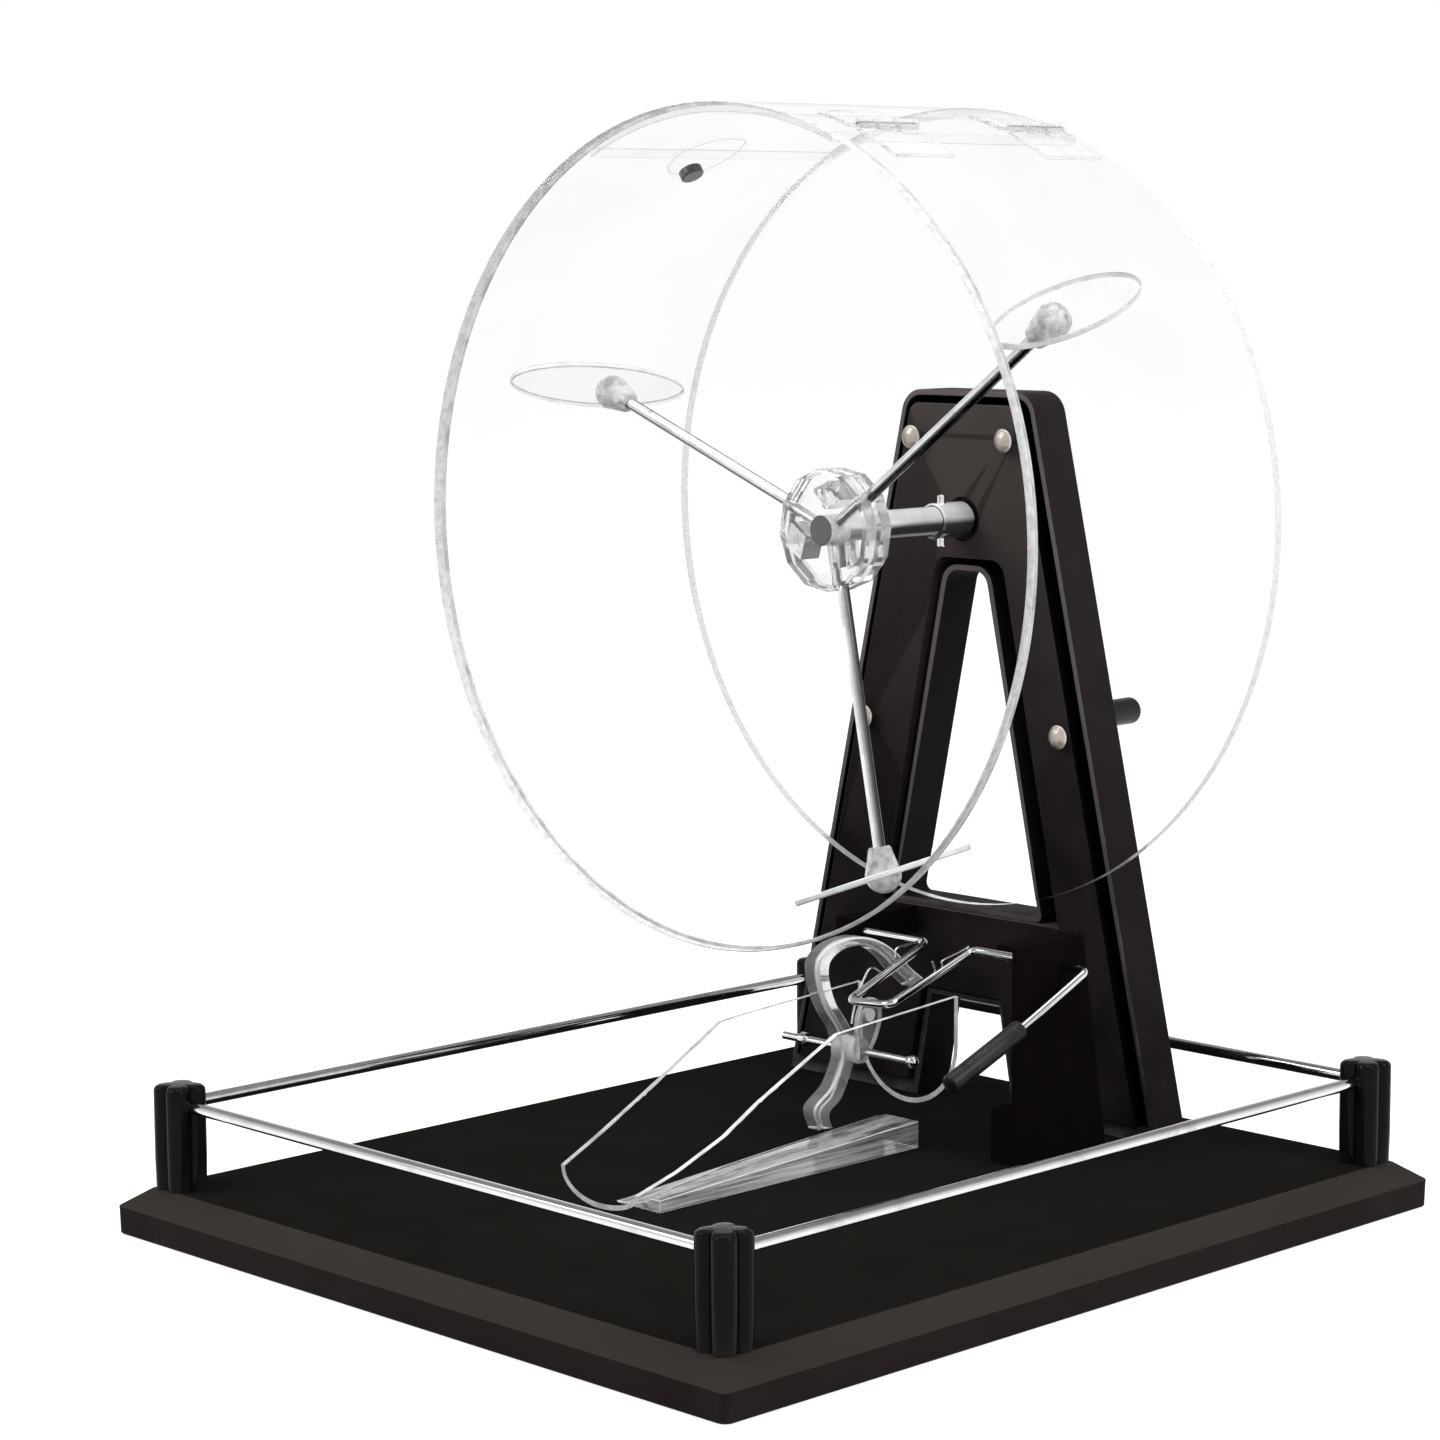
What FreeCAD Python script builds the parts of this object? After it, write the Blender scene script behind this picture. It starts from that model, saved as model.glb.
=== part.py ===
import FreeCAD, Part
import math
import os

# Raffle drum with crank: a fixed clear drum on a black A-shaped stand, stirred by three
# paddles on a hand-cranked shaft, with a lever-worked ball gate above a clear trough.
# Units mm. +Z up, +X right, +Y towards the stand. Origin: centre of the base board's underside.

V = FreeCAD.Vector
UP = V(0, 0, 1)
ALONG = V(0, 1, 0)
ACROSS = V(1, 0, 0)

# Base board
BASE_X = 412.0
BASE_Y = 476.0
BASE_EDGE = 13.0
BASE_TOP = 22.0
BASE_BEVEL = 13.0
BASE_CORNER = 5.0

# Corner posts and rails
POST_X = 183.5
POST_Y = 216.0
POST_H = 50.0
LOBE_R = 5.5
LOBE_OFF = 4.8
RAIL_R = 3.0
RAIL_Z = BASE_TOP + 40.0
NOTCH = 5.0

# Drum
DRUM_X = -33.0
DRUM_Z = 329.0
DRUM_R = 200.0
WALL = 5.0
DRUM_Y0 = -14.0
DRUM_Y1 = 165.5
DISC_T = 5.0
SHELL_Y0 = DRUM_Y0 + DISC_T
SHELL_Y1 = DRUM_Y1 - DISC_T
EXIT_X = -30.0
EXIT_Y = 62.0
EXIT_R = 24.0

# Door in the drum wall, angles from +X towards +Z about the drum axis
SHELL_A0 = 66.7
SHELL_A1 = 116.0
DOOR_A0 = 67.0
DOOR_A1 = 115.8
DOOR_GAP = 0.5
HINGE_A = 67.5
HINGE_R = 203.4
KNUCKLE_R = 2.8
HINGE_PIN_R = 1.0
HINGE_CLEAR = 0.05
HINGE_SPANS = ((7.0, 46.0), (111.0, 150.0))
LEAF_T = 2.0
CATCH_A = 118.0
CATCH_Y = 79.0
CATCH_R = 21.0
MAGNET_A = 121.0
MAGNET_Y = 75.0
MAGNET_R = 6.0

# Shaft and hub
SHAFT_Z = 324.5
SHAFT_R = 7.5
SHAFT_Y0 = 63.0
SHAFT_Y1 = 206.0
SHAFT_CLEAR = 0.05
COLLAR_R = 9.0
COLLAR_Y0 = 143.0
COLLAR_Y1 = 165.0
HUB_R = 30.0
HUB_T = 10.0
SPOKE_Y = SHAFT_Y0 + HUB_T
SPOKE_R = 3.0
WINDOW_ANGLES = (77.0, 199.0, 321.0)
WINDOW_NEAR = 10.8
WINDOW_FAR = 25.2
WINDOW_SIDE = 20.5
WINDOW_SPREAD = 28.0

# Stand: half-widths and heights are measured from the drum axis line
STAND_LIP = 169.0
STAND_BACK = 192.6
STAND_TOP = DRUM_Z + 60.0
STAND_TOP_HALF = 42.5
STAND_FOOT_HALF = 126.0
STAND_R = 13.0
RIM = 3.0
POCKET_FLOOR = 186.0
POCKET_FOOT = 30.0
WINDOW_TOP = 298.0
WINDOW_FOOT = 126.0
WINDOW_TOP_HALF = 12.5
WINDOW_FOOT_HALF = 49.0
ARCH_TOP = 77.0
ARCH_TOP_HALF = 23.0
ARCH_FOOT_HALF = 33.0
SCREW_HEADS = ((-31.0, 36.0), (31.0, 36.0), (-64.0, -110.0), (68.0, -109.0))
SCREW_R = 6.0

# Crank behind the stand
CRANK_A = -70.6
CRANK_LEN = 108.7
CRANK_Y0 = 198.0
CRANK_Y1 = 206.0
CRANK_PIN_R = 3.0
KNOB_R = 7.0
KNOB_Y0 = 207.0
KNOB_Y1 = 258.0

# Trough and its wedge
TROUGH_T = 2.5
# stations: (Y, centre X, half width, underside height, left wall height, right wall height)
TROUGH_STATIONS = (
    (112.5, -21.0, 34.0, 34.8, 57.0, 58.4),
    (27.0, -21.0, 34.0, 29.8, 57.1, 57.6),
    (13.0, -21.0, 34.0, 29.0, 56.7, 52.0),
    (-26.0, -19.5, 32.5, 26.7, 40.5, 36.3),
    (-49.0, -18.0, 31.0, 25.4, 32.3, 25.0),
    (-79.0, -15.3, 28.3, 23.7, 23.1, 15.4),
    (-104.0, -13.5, 26.3, 22.2, 15.8, 10.0),
)
FOOT_SLOT = ((-33.0, 40.5), (-20.0, 66.0))
WEDGE_X0 = -16.0
WEDGE_X1 = 13.0
WEDGE_Y0 = -91.0
WEDGE_Y1 = 84.0
WEDGE_H0 = 6.0
WEDGE_H1 = 13.6

# Gate rocker on its cross pin
PIN_Y = 76.0
PIN_Z = 67.0
PIN_R = 2.0
PIN_X0 = -72.0
PIN_X1 = 16.0
PIN_COLLAR_X = -59.5
GATE_X = -26.5
GATE_W = 9.0
GATE_BOSS_R = 6.5
GATE_BOSS_X0 = -32.5
GATE_BOSS_X1 = -18.5
GATE_CLEAR = 0.05
GATE_OUTER = ((50.8, 30.5), (47.2, 41.8), (59.2, 50.9), (66.5, 63.8), (63.8, 78.0), (54.8, 90.8), (49.5, 103.0),
              (48.4, 113.0), (51.5, 118.0), (59.0, 121.9), (69.0, 123.6), (79.3, 123.3), (89.4, 121.0),
              (99.5, 116.4), (108.7, 109.8), (117.0, 102.4), (126.5, 95.5))
GATE_INNER = ((60.2, 29.8), (58.4, 37.9), (67.2, 44.6), (75.7, 61.0), (78.0, 69.0), (72.2, 80.0), (63.3, 91.8),
              (59.0, 102.2), (57.9, 110.0), (60.5, 114.8), (69.3, 118.6), (81.3, 118.9), (90.0, 115.5),
              (98.0, 110.0), (104.5, 103.6), (118.1, 92.5))

# Release lever of bent wire on its own cross line
LEVER_Y = 123.0
LEVER_Z = 115.4
WIRE_R = 2.0
LUG_X0 = -74.0
LUG_X1 = -64.0
BRACKET_X0 = 69.0
BRACKET_X1 = 71.6
LEVER_WIRE = ((-76.0, 123.0, 115.4), (-17.0, 123.0, 115.4), (-17.0, 66.0, 94.0), (13.0, 63.0, 96.6),
              (13.0, 123.0, 115.4), (87.0, 123.0, 115.4), (87.0, 74.0, 94.0), (87.0, 27.0, 76.0))
GRIP_R = 4.8


def box(x0, y0, z0, x1, y1, z1):
    """Box between two opposite corners."""
    return Part.makeBox(x1 - x0, y1 - y0, z1 - z0, V(x0, y0, z0))


def rod(start, end, radius):
    """Round rod between two points."""
    axis = end - start
    return Part.makeCylinder(radius, axis.Length, start, axis)


def polar(radius, degrees, y):
    """Point at a radius and angle about the drum axis."""
    a = math.radians(degrees)
    return V(DRUM_X + radius * math.cos(a), y, DRUM_Z + radius * math.sin(a))


def spoke_point(radius, degrees, y):
    """Point at a radius and angle about the shaft."""
    a = math.radians(degrees)
    return V(DRUM_X + radius * math.cos(a), y, SHAFT_Z + radius * math.sin(a))


def ring(r0, r1, y0, y1):
    """Tube about the drum axis."""
    outer = Part.makeCylinder(r1, y1 - y0, V(DRUM_X, y0, DRUM_Z), ALONG)
    return outer.cut(Part.makeCylinder(r0, y1 - y0, V(DRUM_X, y0, DRUM_Z), ALONG))


def sector(r0, r1, a0, a1, y0, y1):
    """Piece of a tube about the drum axis between two angles."""
    mid = 0.5 * (a0 + a1)
    outer = Part.Arc(polar(r1, a0, y0), polar(r1, mid, y0), polar(r1, a1, y0)).toShape()
    inner = Part.Arc(polar(r0, a1, y0), polar(r0, mid, y0), polar(r0, a0, y0)).toShape()
    end = Part.makeLine(polar(r1, a1, y0), polar(r0, a1, y0))
    start = Part.makeLine(polar(r0, a0, y0), polar(r1, a0, y0))
    return Part.Face(Part.Wire([outer, end, inner, start])).extrude(V(0, y1 - y0, 0))


def upright(points, y0, y1):
    """Prism from (x, z) points about the drum's centre line, between two Y planes."""
    loop = [V(DRUM_X + x, y0, z) for x, z in points]
    return Part.Face(Part.makePolygon(loop + loop[:1])).extrude(V(0, y1 - y0, 0))


def side_profile(points, x0, x1):
    """Prism from (y, z) points, between two X planes."""
    loop = [V(x0, y, z) for y, z in points]
    return Part.Face(Part.makePolygon(loop + loop[:1])).extrude(V(x1 - x0, 0, 0))


def round_edges(solid, radius, wanted):
    """Fillet the edges whose midpoint passes the test."""
    edges = [e for e in solid.Edges if wanted(e)]
    return solid.makeFillet(radius, edges)


def runs_along_y(edge):
    """True for a straight edge parallel to Y."""
    a, b = edge.Vertexes[0].Point, edge.Vertexes[-1].Point
    return abs(a.x - b.x) < 0.01 and abs(a.z - b.z) < 0.01 and abs(a.y - b.y) > 0.5


def bent_wire(points, radius):
    """Round wire through points, with ball corners."""
    places = [V(*p) for p in points]
    wire = rod(places[0], places[1], radius)
    for a, b in zip(places[1:-1], places[2:]):
        wire = wire.fuse([Part.makeSphere(radius, a), rod(a, b, radius)])
    return wire.removeSplitter()


def base_board():
    """Board with a straight edge band and a bevel up to its flat top."""
    band = box(-BASE_X / 2, -BASE_Y / 2, 0, BASE_X / 2, BASE_Y / 2, BASE_EDGE)
    lower = Part.makePlane(BASE_X, BASE_Y, V(-BASE_X / 2, -BASE_Y / 2, BASE_EDGE)).OuterWire
    top_x = BASE_X - 2 * BASE_BEVEL
    top_y = BASE_Y - 2 * BASE_BEVEL
    upper = Part.makePlane(top_x, top_y, V(-top_x / 2, -top_y / 2, BASE_TOP)).OuterWire
    board = band.fuse(Part.makeLoft([lower, upper], True, True)).removeSplitter()
    corners = [V(sx * BASE_X / 2, sy * BASE_Y / 2, 0) for sx in (-1, 1) for sy in (-1, 1)]
    for corner in corners:
        inward = V(-math.copysign(1, corner.x), -math.copysign(1, corner.y), 0)
        a = corner + V(inward.x * BASE_CORNER, 0, 0)
        b = corner + V(0, inward.y * BASE_CORNER, 0)
        far = corner - inward * 10
        cut = Part.Face(Part.makePolygon([a, b, V(far.x, b.y, 0), far, V(a.x, far.y, 0), a]))
        board = board.cut(cut.extrude(V(0, 0, BASE_TOP + 1)))
    return board


def corner_post(x, y):
    """Post of four round lobes with a softly domed top and a rail notch on two sides."""
    foot = V(x, y, BASE_TOP)
    post = box(x - LOBE_OFF, y - LOBE_OFF, BASE_TOP, x + LOBE_OFF, y + LOBE_OFF, BASE_TOP + POST_H - 1)
    for sx in (-1, 1):
        for sy in (-1, 1):
            centre = foot + V(sx * LOBE_OFF, sy * LOBE_OFF, 0)
            lobe = Part.makeCylinder(LOBE_R, POST_H, centre)
            top = [e for e in lobe.Edges if e.BoundBox.ZMin > BASE_TOP + POST_H - 1]
            post = post.fuse(lobe.makeFillet(2.2, [e for e in top if e.BoundBox.XLength > 1]))
    return post.removeSplitter()


def rail(start, end):
    """One round rail between two posts."""
    return rod(start, end, RAIL_R)


def outline(inset, top_inset, foot):
    """Corner points of the stand's sloping outline, moved inwards."""
    slope = (STAND_FOOT_HALF - STAND_TOP_HALF) / (STAND_TOP - BASE_TOP)
    top = STAND_TOP - top_inset
    half_top = STAND_TOP_HALF + slope * top_inset - inset
    half_foot = STAND_FOOT_HALF - slope * (foot - BASE_TOP) - inset
    return ((-half_top, top), (half_top, top), (half_foot, foot), (-half_foot, foot))


def window(side, top, foot):
    """Corner points of the stand's window, grown by side, top and foot amounts."""
    return ((-WINDOW_TOP_HALF - side, WINDOW_TOP + top), (WINDOW_TOP_HALF + side, WINDOW_TOP + top),
            (WINDOW_FOOT_HALF + side, WINDOW_FOOT - foot), (-WINDOW_FOOT_HALF - side, WINDOW_FOOT - foot))


def rounded_window(side, top, foot, y0, y1):
    """Window prism with round top corners and small foot corners."""
    body = upright(window(side, top, foot), y0, y1)
    high = round_edges(body, 8.0 + side, lambda e: runs_along_y(e) and e.BoundBox.ZMin > WINDOW_TOP - 5)
    return round_edges(high, 4.0, lambda e: runs_along_y(e) and e.BoundBox.ZMax < WINDOW_FOOT + 5)


def arch(y0, y1):
    """Opening between the stand's feet."""
    points = ((-ARCH_TOP_HALF, ARCH_TOP), (ARCH_TOP_HALF, ARCH_TOP),
              (ARCH_FOOT_HALF, BASE_TOP), (-ARCH_FOOT_HALF, BASE_TOP))
    return upright(points, y0, y1)


def stand_outline(inset, top_inset, foot, radius, y0, y1):
    """Outline prism with its two top corners rounded."""
    body = upright(outline(inset, top_inset, foot), y0, y1)
    return round_edges(body, radius, lambda e: runs_along_y(e) and e.BoundBox.ZMin > 300)


def stand_shell():
    """Stand body: rimmed shell with a window rim, pocketed from the front."""
    body = stand_outline(0, 0, BASE_TOP, STAND_R, STAND_LIP, STAND_BACK)
    pocket = stand_outline(RIM, RIM, POCKET_FOOT, STAND_R - RIM, STAND_LIP, POCKET_FLOOR)
    island = rounded_window(RIM, RIM, RIM, STAND_LIP, POCKET_FLOOR)
    legs = upright(((-ARCH_TOP_HALF - RIM, ARCH_TOP + RIM), (ARCH_TOP_HALF + RIM, ARCH_TOP + RIM),
                    (ARCH_FOOT_HALF + RIM, POCKET_FOOT), (-ARCH_FOOT_HALF - RIM, POCKET_FOOT)),
                   STAND_LIP, POCKET_FLOOR)
    body = body.cut(pocket.cut(island).cut(legs))
    body = body.cut(rounded_window(0, 0, 0, STAND_LIP, STAND_BACK))
    body = body.cut(arch(STAND_LIP, STAND_BACK))
    return body.cut(rod(V(DRUM_X, POCKET_FLOOR, SHAFT_Z), V(DRUM_X, STAND_BACK, SHAFT_Z), COLLAR_R + 2))


def stand_panel():
    """Raised front panel that fills the shell's pocket with a groove left around it."""
    body = stand_outline(8.5, 6.5, POCKET_FOOT, STAND_R - 6, DRUM_Y1, POCKET_FLOOR)
    points = ((-WINDOW_TOP_HALF - 5.5, WINDOW_TOP + 6.5), (WINDOW_TOP_HALF + 14, WINDOW_TOP + 6.5),
              (WINDOW_FOOT_HALF + 16, WINDOW_FOOT - RIM), (-WINDOW_FOOT_HALF - 5.5, WINDOW_FOOT - RIM))
    hole = upright(points, DRUM_Y1, POCKET_FLOOR)
    hole = round_edges(hole, 9.0, lambda e: runs_along_y(e) and e.BoundBox.ZMin > WINDOW_TOP)
    legs = upright(((-ARCH_TOP_HALF - RIM - 1, ARCH_TOP + RIM + 1), (ARCH_TOP_HALF + RIM + 1, ARCH_TOP + RIM + 1),
                    (ARCH_FOOT_HALF + RIM + 1, POCKET_FOOT), (-ARCH_FOOT_HALF - RIM - 1, POCKET_FOOT)),
                   DRUM_Y1, POCKET_FLOOR)
    body = body.cut(hole).cut(legs)
    return body.cut(rod(V(DRUM_X, DRUM_Y1, SHAFT_Z), V(DRUM_X, POCKET_FLOOR, SHAFT_Z), COLLAR_R + 2))


def shaft_bush():
    """Bearing bush through the stand, with a flange at the back."""
    start = V(DRUM_X, DRUM_Y1 + 1, SHAFT_Z)
    body = rod(start, V(DRUM_X, STAND_BACK, SHAFT_Z), COLLAR_R + 2)
    flange = rod(V(DRUM_X, STAND_BACK, SHAFT_Z), V(DRUM_X, STAND_BACK + 3, SHAFT_Z), 16)
    bore = rod(start, V(DRUM_X, STAND_BACK + 3, SHAFT_Z), SHAFT_R + SHAFT_CLEAR)
    return body.fuse(flange).cut(bore).removeSplitter()


def drum_screws():
    """Four domed screws that hold the drum's rear disc to the stand."""
    heads = []
    for x, z in SCREW_HEADS:
        place = V(DRUM_X + x, SHELL_Y1, DRUM_Z + z)
        ball = Part.makeSphere(SCREW_R * 1.25, place + V(0, SCREW_R * 0.75, 0))
        dome = ball.common(box(place.x - 9, place.y - 9, place.z - 9, place.x + 9, place.y, place.z + 9))
        heads.append(dome.fuse(rod(place, place + V(0, DISC_T, 0), 2.5)).removeSplitter())
    return Part.makeCompound(heads)


def drum_shell():
    """Clear drum wall with the door gap, the exit hole and the magnet seat."""
    wall = ring(DRUM_R - WALL, DRUM_R, SHELL_Y0, SHELL_Y1)
    wall = wall.cut(sector(DRUM_R - WALL - 2, DRUM_R + 2, SHELL_A0, SHELL_A1, SHELL_Y0, SHELL_Y1))
    wall = wall.cut(rod(V(EXIT_X, EXIT_Y, DRUM_Z - 210), V(EXIT_X, EXIT_Y, DRUM_Z - 170), EXIT_R))
    return wall.cut(rod(polar(190, MAGNET_A, MAGNET_Y), polar(205, MAGNET_A, MAGNET_Y), MAGNET_R))


def drum_disc(y0, bore):
    """Round end disc of the drum, with a hole about the shaft when bore is over zero."""
    disc = Part.makeCylinder(DRUM_R, DISC_T, V(DRUM_X, y0, DRUM_Z), ALONG)
    if bore > 0:
        disc = disc.cut(rod(V(DRUM_X, y0, SHAFT_Z), V(DRUM_X, y0 + DISC_T, SHAFT_Z), bore))
        for x, z in SCREW_HEADS:
            place = V(DRUM_X + x, y0, DRUM_Z + z)
            disc = disc.cut(rod(place, place + V(0, DISC_T, 0), 2.5))
    return disc


def door_magnet():
    """Magnet set flush in the drum wall."""
    plug = rod(polar(190, MAGNET_A, MAGNET_Y), polar(205, MAGNET_A, MAGNET_Y), MAGNET_R)
    return plug.common(ring(DRUM_R - WALL, DRUM_R, MAGNET_Y - 10, MAGNET_Y + 10))


def door_panel():
    """Opening piece of the drum wall."""
    return sector(DRUM_R - WALL, DRUM_R, DOOR_A0, DOOR_A1, SHELL_Y0 + DOOR_GAP, SHELL_Y1 - DOOR_GAP)


def knuckle_spans(y0, y1):
    """The three knuckle stretches of one hinge: fixed, moving, fixed."""
    third = (y1 - y0) / 3
    return ((y0, y0 + third - 0.4), (y0 + third, y1 - third), (y1 - third + 0.4, y1))


def hinge_leaves(moving):
    """Both hinges' leaves of one side, with their knuckles bored for the pin."""
    leaves = []
    bore = HINGE_PIN_R + (HINGE_CLEAR if moving else 0)
    for y0, y1 in HINGE_SPANS:
        edges = (68.9, 75.0) if moving else (59.5, 66.1)
        leaf = sector(DRUM_R, DRUM_R + LEAF_T, edges[0], edges[1], y0, y1)
        spans = knuckle_spans(y0, y1)
        for a, b in (spans[1:2] if moving else spans[::2]):
            reach = (HINGE_A, 69.0) if moving else (66.0, HINGE_A)
            web = sector(DRUM_R + 0.7, DRUM_R + LEAF_T, reach[0], reach[1], a, b)
            leaf = leaf.fuse([web, rod(polar(HINGE_R, HINGE_A, a), polar(HINGE_R, HINGE_A, b), KNUCKLE_R)])
        leaf = leaf.cut(rod(polar(HINGE_R, HINGE_A, y0), polar(HINGE_R, HINGE_A, y1), bore))
        leaves.append(leaf.removeSplitter())
    return Part.makeCompound(leaves)


def hinge_pins():
    """Pins of both hinges."""
    pins = [rod(polar(HINGE_R, HINGE_A, a), polar(HINGE_R, HINGE_A, b), HINGE_PIN_R) for a, b in HINGE_SPANS]
    return Part.makeCompound(pins)


def catch_disc():
    """Finger disc on the door that reaches over the seam to the magnet."""
    post = rod(polar(190, CATCH_A, CATCH_Y), polar(212, CATCH_A, CATCH_Y), CATCH_R)
    y0, y1 = CATCH_Y - CATCH_R - 1, CATCH_Y + CATCH_R + 1
    disc = post.common(sector(DRUM_R, DRUM_R + 3, 108, 128, y0, y1))
    return disc.cut(sector(DRUM_R - 1, DRUM_R + 0.5, DOOR_A1, 130, y0, y1))


def shaft():
    """Steel shaft from the hub's front face to the crank."""
    return rod(V(DRUM_X, SHAFT_Y0, SHAFT_Z), V(DRUM_X, SHAFT_Y1, SHAFT_Z), SHAFT_R)


def shaft_collar():
    """Stop collar in front of the stand, with its edges eased."""
    body = rod(V(DRUM_X, COLLAR_Y0, SHAFT_Z), V(DRUM_X, COLLAR_Y1, SHAFT_Z), COLLAR_R)
    body = body.makeChamfer(0.8, [e for e in body.Edges if e.BoundBox.YLength < 0.1])
    return body.cut(rod(V(DRUM_X, COLLAR_Y0, SHAFT_Z), V(DRUM_X, COLLAR_Y1, SHAFT_Z), SHAFT_R))


def collar_screws():
    """Two set screws standing out of the collar."""
    y = COLLAR_Y0 + 7
    screws = [rod(V(DRUM_X, y, SHAFT_Z + s * 8.4), V(DRUM_X, y, SHAFT_Z + s * 13.0), 2.2) for s in (-1, 1)]
    return Part.makeCompound([s.cut(shaft_collar()) for s in screws])


def spoke_angles():
    """Directions of the spokes about the shaft."""
    return tuple(row[1] for row in PADDLES)


def hub_plate(y0, cut_spokes):
    """Twelve-sided clear hub plate with three diamond windows."""
    corners = [spoke_point(HUB_R, 36 + 30 * i, y0) for i in range(12)]
    plate = Part.Face(Part.makePolygon(corners + corners[:1])).extrude(V(0, HUB_T, 0))
    plate = plate.makeChamfer(1.5, [e for e in plate.Edges if e.BoundBox.YLength < 0.1])
    plate = plate.cut(rod(V(DRUM_X, y0, SHAFT_Z), V(DRUM_X, y0 + HUB_T, SHAFT_Z), SHAFT_R))
    for a in WINDOW_ANGLES:
        loop = [spoke_point(WINDOW_NEAR, a, y0), spoke_point(WINDOW_SIDE, a + WINDOW_SPREAD, y0),
                spoke_point(WINDOW_FAR, a, y0), spoke_point(WINDOW_SIDE, a - WINDOW_SPREAD, y0)]
        plate = plate.cut(Part.Face(Part.makePolygon(loop + loop[:1])).extrude(V(0, HUB_T, 0)))
    if cut_spokes:
        for a in spoke_angles():
            plate = plate.cut(rod(spoke_point(0, a, SPOKE_Y), spoke_point(60, a, SPOKE_Y), SPOKE_R))
    return plate


def spoke(degrees, reach):
    """Steel spoke from the shaft out to its paddle boss."""
    body = rod(spoke_point(0, degrees, SPOKE_Y), spoke_point(reach, degrees, SPOKE_Y), SPOKE_R)
    return body.cut(rod(V(DRUM_X, 0, SHAFT_Z), V(DRUM_X, SHAFT_Y1, SHAFT_Z), SHAFT_R))


def paddle(centre, half_sizes, long_axis, normal):
    """Elliptical clear plate."""
    length = V(long_axis)
    length.normalize()
    facing = V(normal) - length * length.dot(normal)
    facing.normalize()
    across = facing.cross(length)
    placement = FreeCAD.Placement(FreeCAD.Matrix(
        length.x, across.x, facing.x, centre.x,
        length.y, across.y, facing.y, centre.y,
        length.z, across.z, facing.z, centre.z,
        0, 0, 0, 1))
    oval = Part.Ellipse(V(0, 0, -1.5), *half_sizes).toShape()
    plate = Part.Face(Part.Wire([oval])).extrude(V(0, 0, 3.0))
    plate.Placement = placement
    return plate


def paddle_boss(degrees, seat):
    """Clear boss round a spoke's end that grips the paddle from both faces."""
    inward = spoke_point(seat - 14, degrees, SPOKE_Y)
    middle = spoke_point(seat, degrees, SPOKE_Y)
    body = Part.makeCone(5.5, 8.6, 12, inward, middle - inward)
    return body.fuse(Part.makeSphere(9.0, middle)).removeSplitter()


# name, spoke direction, seat radius, centre (direction, radius, Y), half sizes, long axis, facing
PADDLES = (
    ("right", 36.5, 172.0, (38.4, 172.9, 86.1), (48.9, 21.0), V(0.014, 0.952, 0.304), V(0.276, -0.296, 0.914)),
    ("left", 158.5, 171.0, (157.0, 170.7, 61.1), (50.4, 21.3), V(0.211, 0.971, -0.116), V(-0.450, 0.202, 0.870)),
    ("bottom", 281.0, 170.0, (281.0, 170.0, 73.0), (46.0, 24.0), V(0.48, 0.84, 0.26), V(0.34, 0.09, -0.94)),
)


def crank_arm():
    """Flat arm with round ends, clamped on the shaft."""
    hub = V(DRUM_X, CRANK_Y0, SHAFT_Z)
    tip = spoke_point(CRANK_LEN, CRANK_A, CRANK_Y0)
    side = (tip - hub).cross(ALONG)
    side.normalize()
    loop = [hub + side * 10, tip + side * 8, tip - side * 8, hub - side * 10]
    bar = Part.Face(Part.makePolygon(loop + loop[:1])).extrude(V(0, CRANK_Y1 - CRANK_Y0, 0))
    depth = CRANK_Y1 - CRANK_Y0
    body = bar.fuse([Part.makeCylinder(14, depth, hub, ALONG), Part.makeCylinder(8, depth, tip, ALONG)])
    body = body.cut(Part.makeCylinder(SHAFT_R, depth, hub, ALONG))
    return body.cut(Part.makeCylinder(CRANK_PIN_R, depth, tip, ALONG)).removeSplitter()


def crank_pin():
    """Pin that carries the knob."""
    return rod(spoke_point(CRANK_LEN, CRANK_A, CRANK_Y0), spoke_point(CRANK_LEN, CRANK_A, KNOB_Y1 - 8), CRANK_PIN_R)


def crank_knob():
    """Round knob with a rounded free end, free to spin on its pin."""
    body = rod(spoke_point(CRANK_LEN, CRANK_A, KNOB_Y0), spoke_point(CRANK_LEN, CRANK_A, KNOB_Y1), KNOB_R)
    far = [e for e in body.Edges if e.BoundBox.YMin > KNOB_Y1 - 1]
    near = [e for e in body.Edges if e.BoundBox.YMax < KNOB_Y0 + 1]
    body = body.makeFillet(3.0, far).makeChamfer(0.6, near)
    bore_end = spoke_point(CRANK_LEN, CRANK_A, KNOB_Y1 - 7.5)
    return body.cut(rod(spoke_point(CRANK_LEN, CRANK_A, KNOB_Y0), bore_end, CRANK_PIN_R + 0.05))


def crank_screw():
    """Set screw that locks the arm to the shaft."""
    y = 0.5 * (CRANK_Y0 + CRANK_Y1)
    screw = rod(spoke_point(7.5, CRANK_A + 180, y), spoke_point(16.0, CRANK_A + 180, y), 2.0)
    return screw


def trough_section(station, inset):
    """Open curve of the trough's cross section, as a list of points from left to right edge."""
    y, middle, width, foot, left, right = station
    half = width - inset
    points = []
    for side, height in ((-1, left), (1, right)):
        drop = max(min(width, height) - inset, 0.4)
        bow = [V(middle + side * half * math.sin(t), y, foot + inset + drop * (1 - math.cos(t)))
               for t in [math.radians(9 * i) for i in range(11)]]
        bow.append(V(middle + side * half, y, foot + max(height, inset + drop) + 0.3))
        points.append(bow)
    return points[0][::-1] + points[1][1:]


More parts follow.
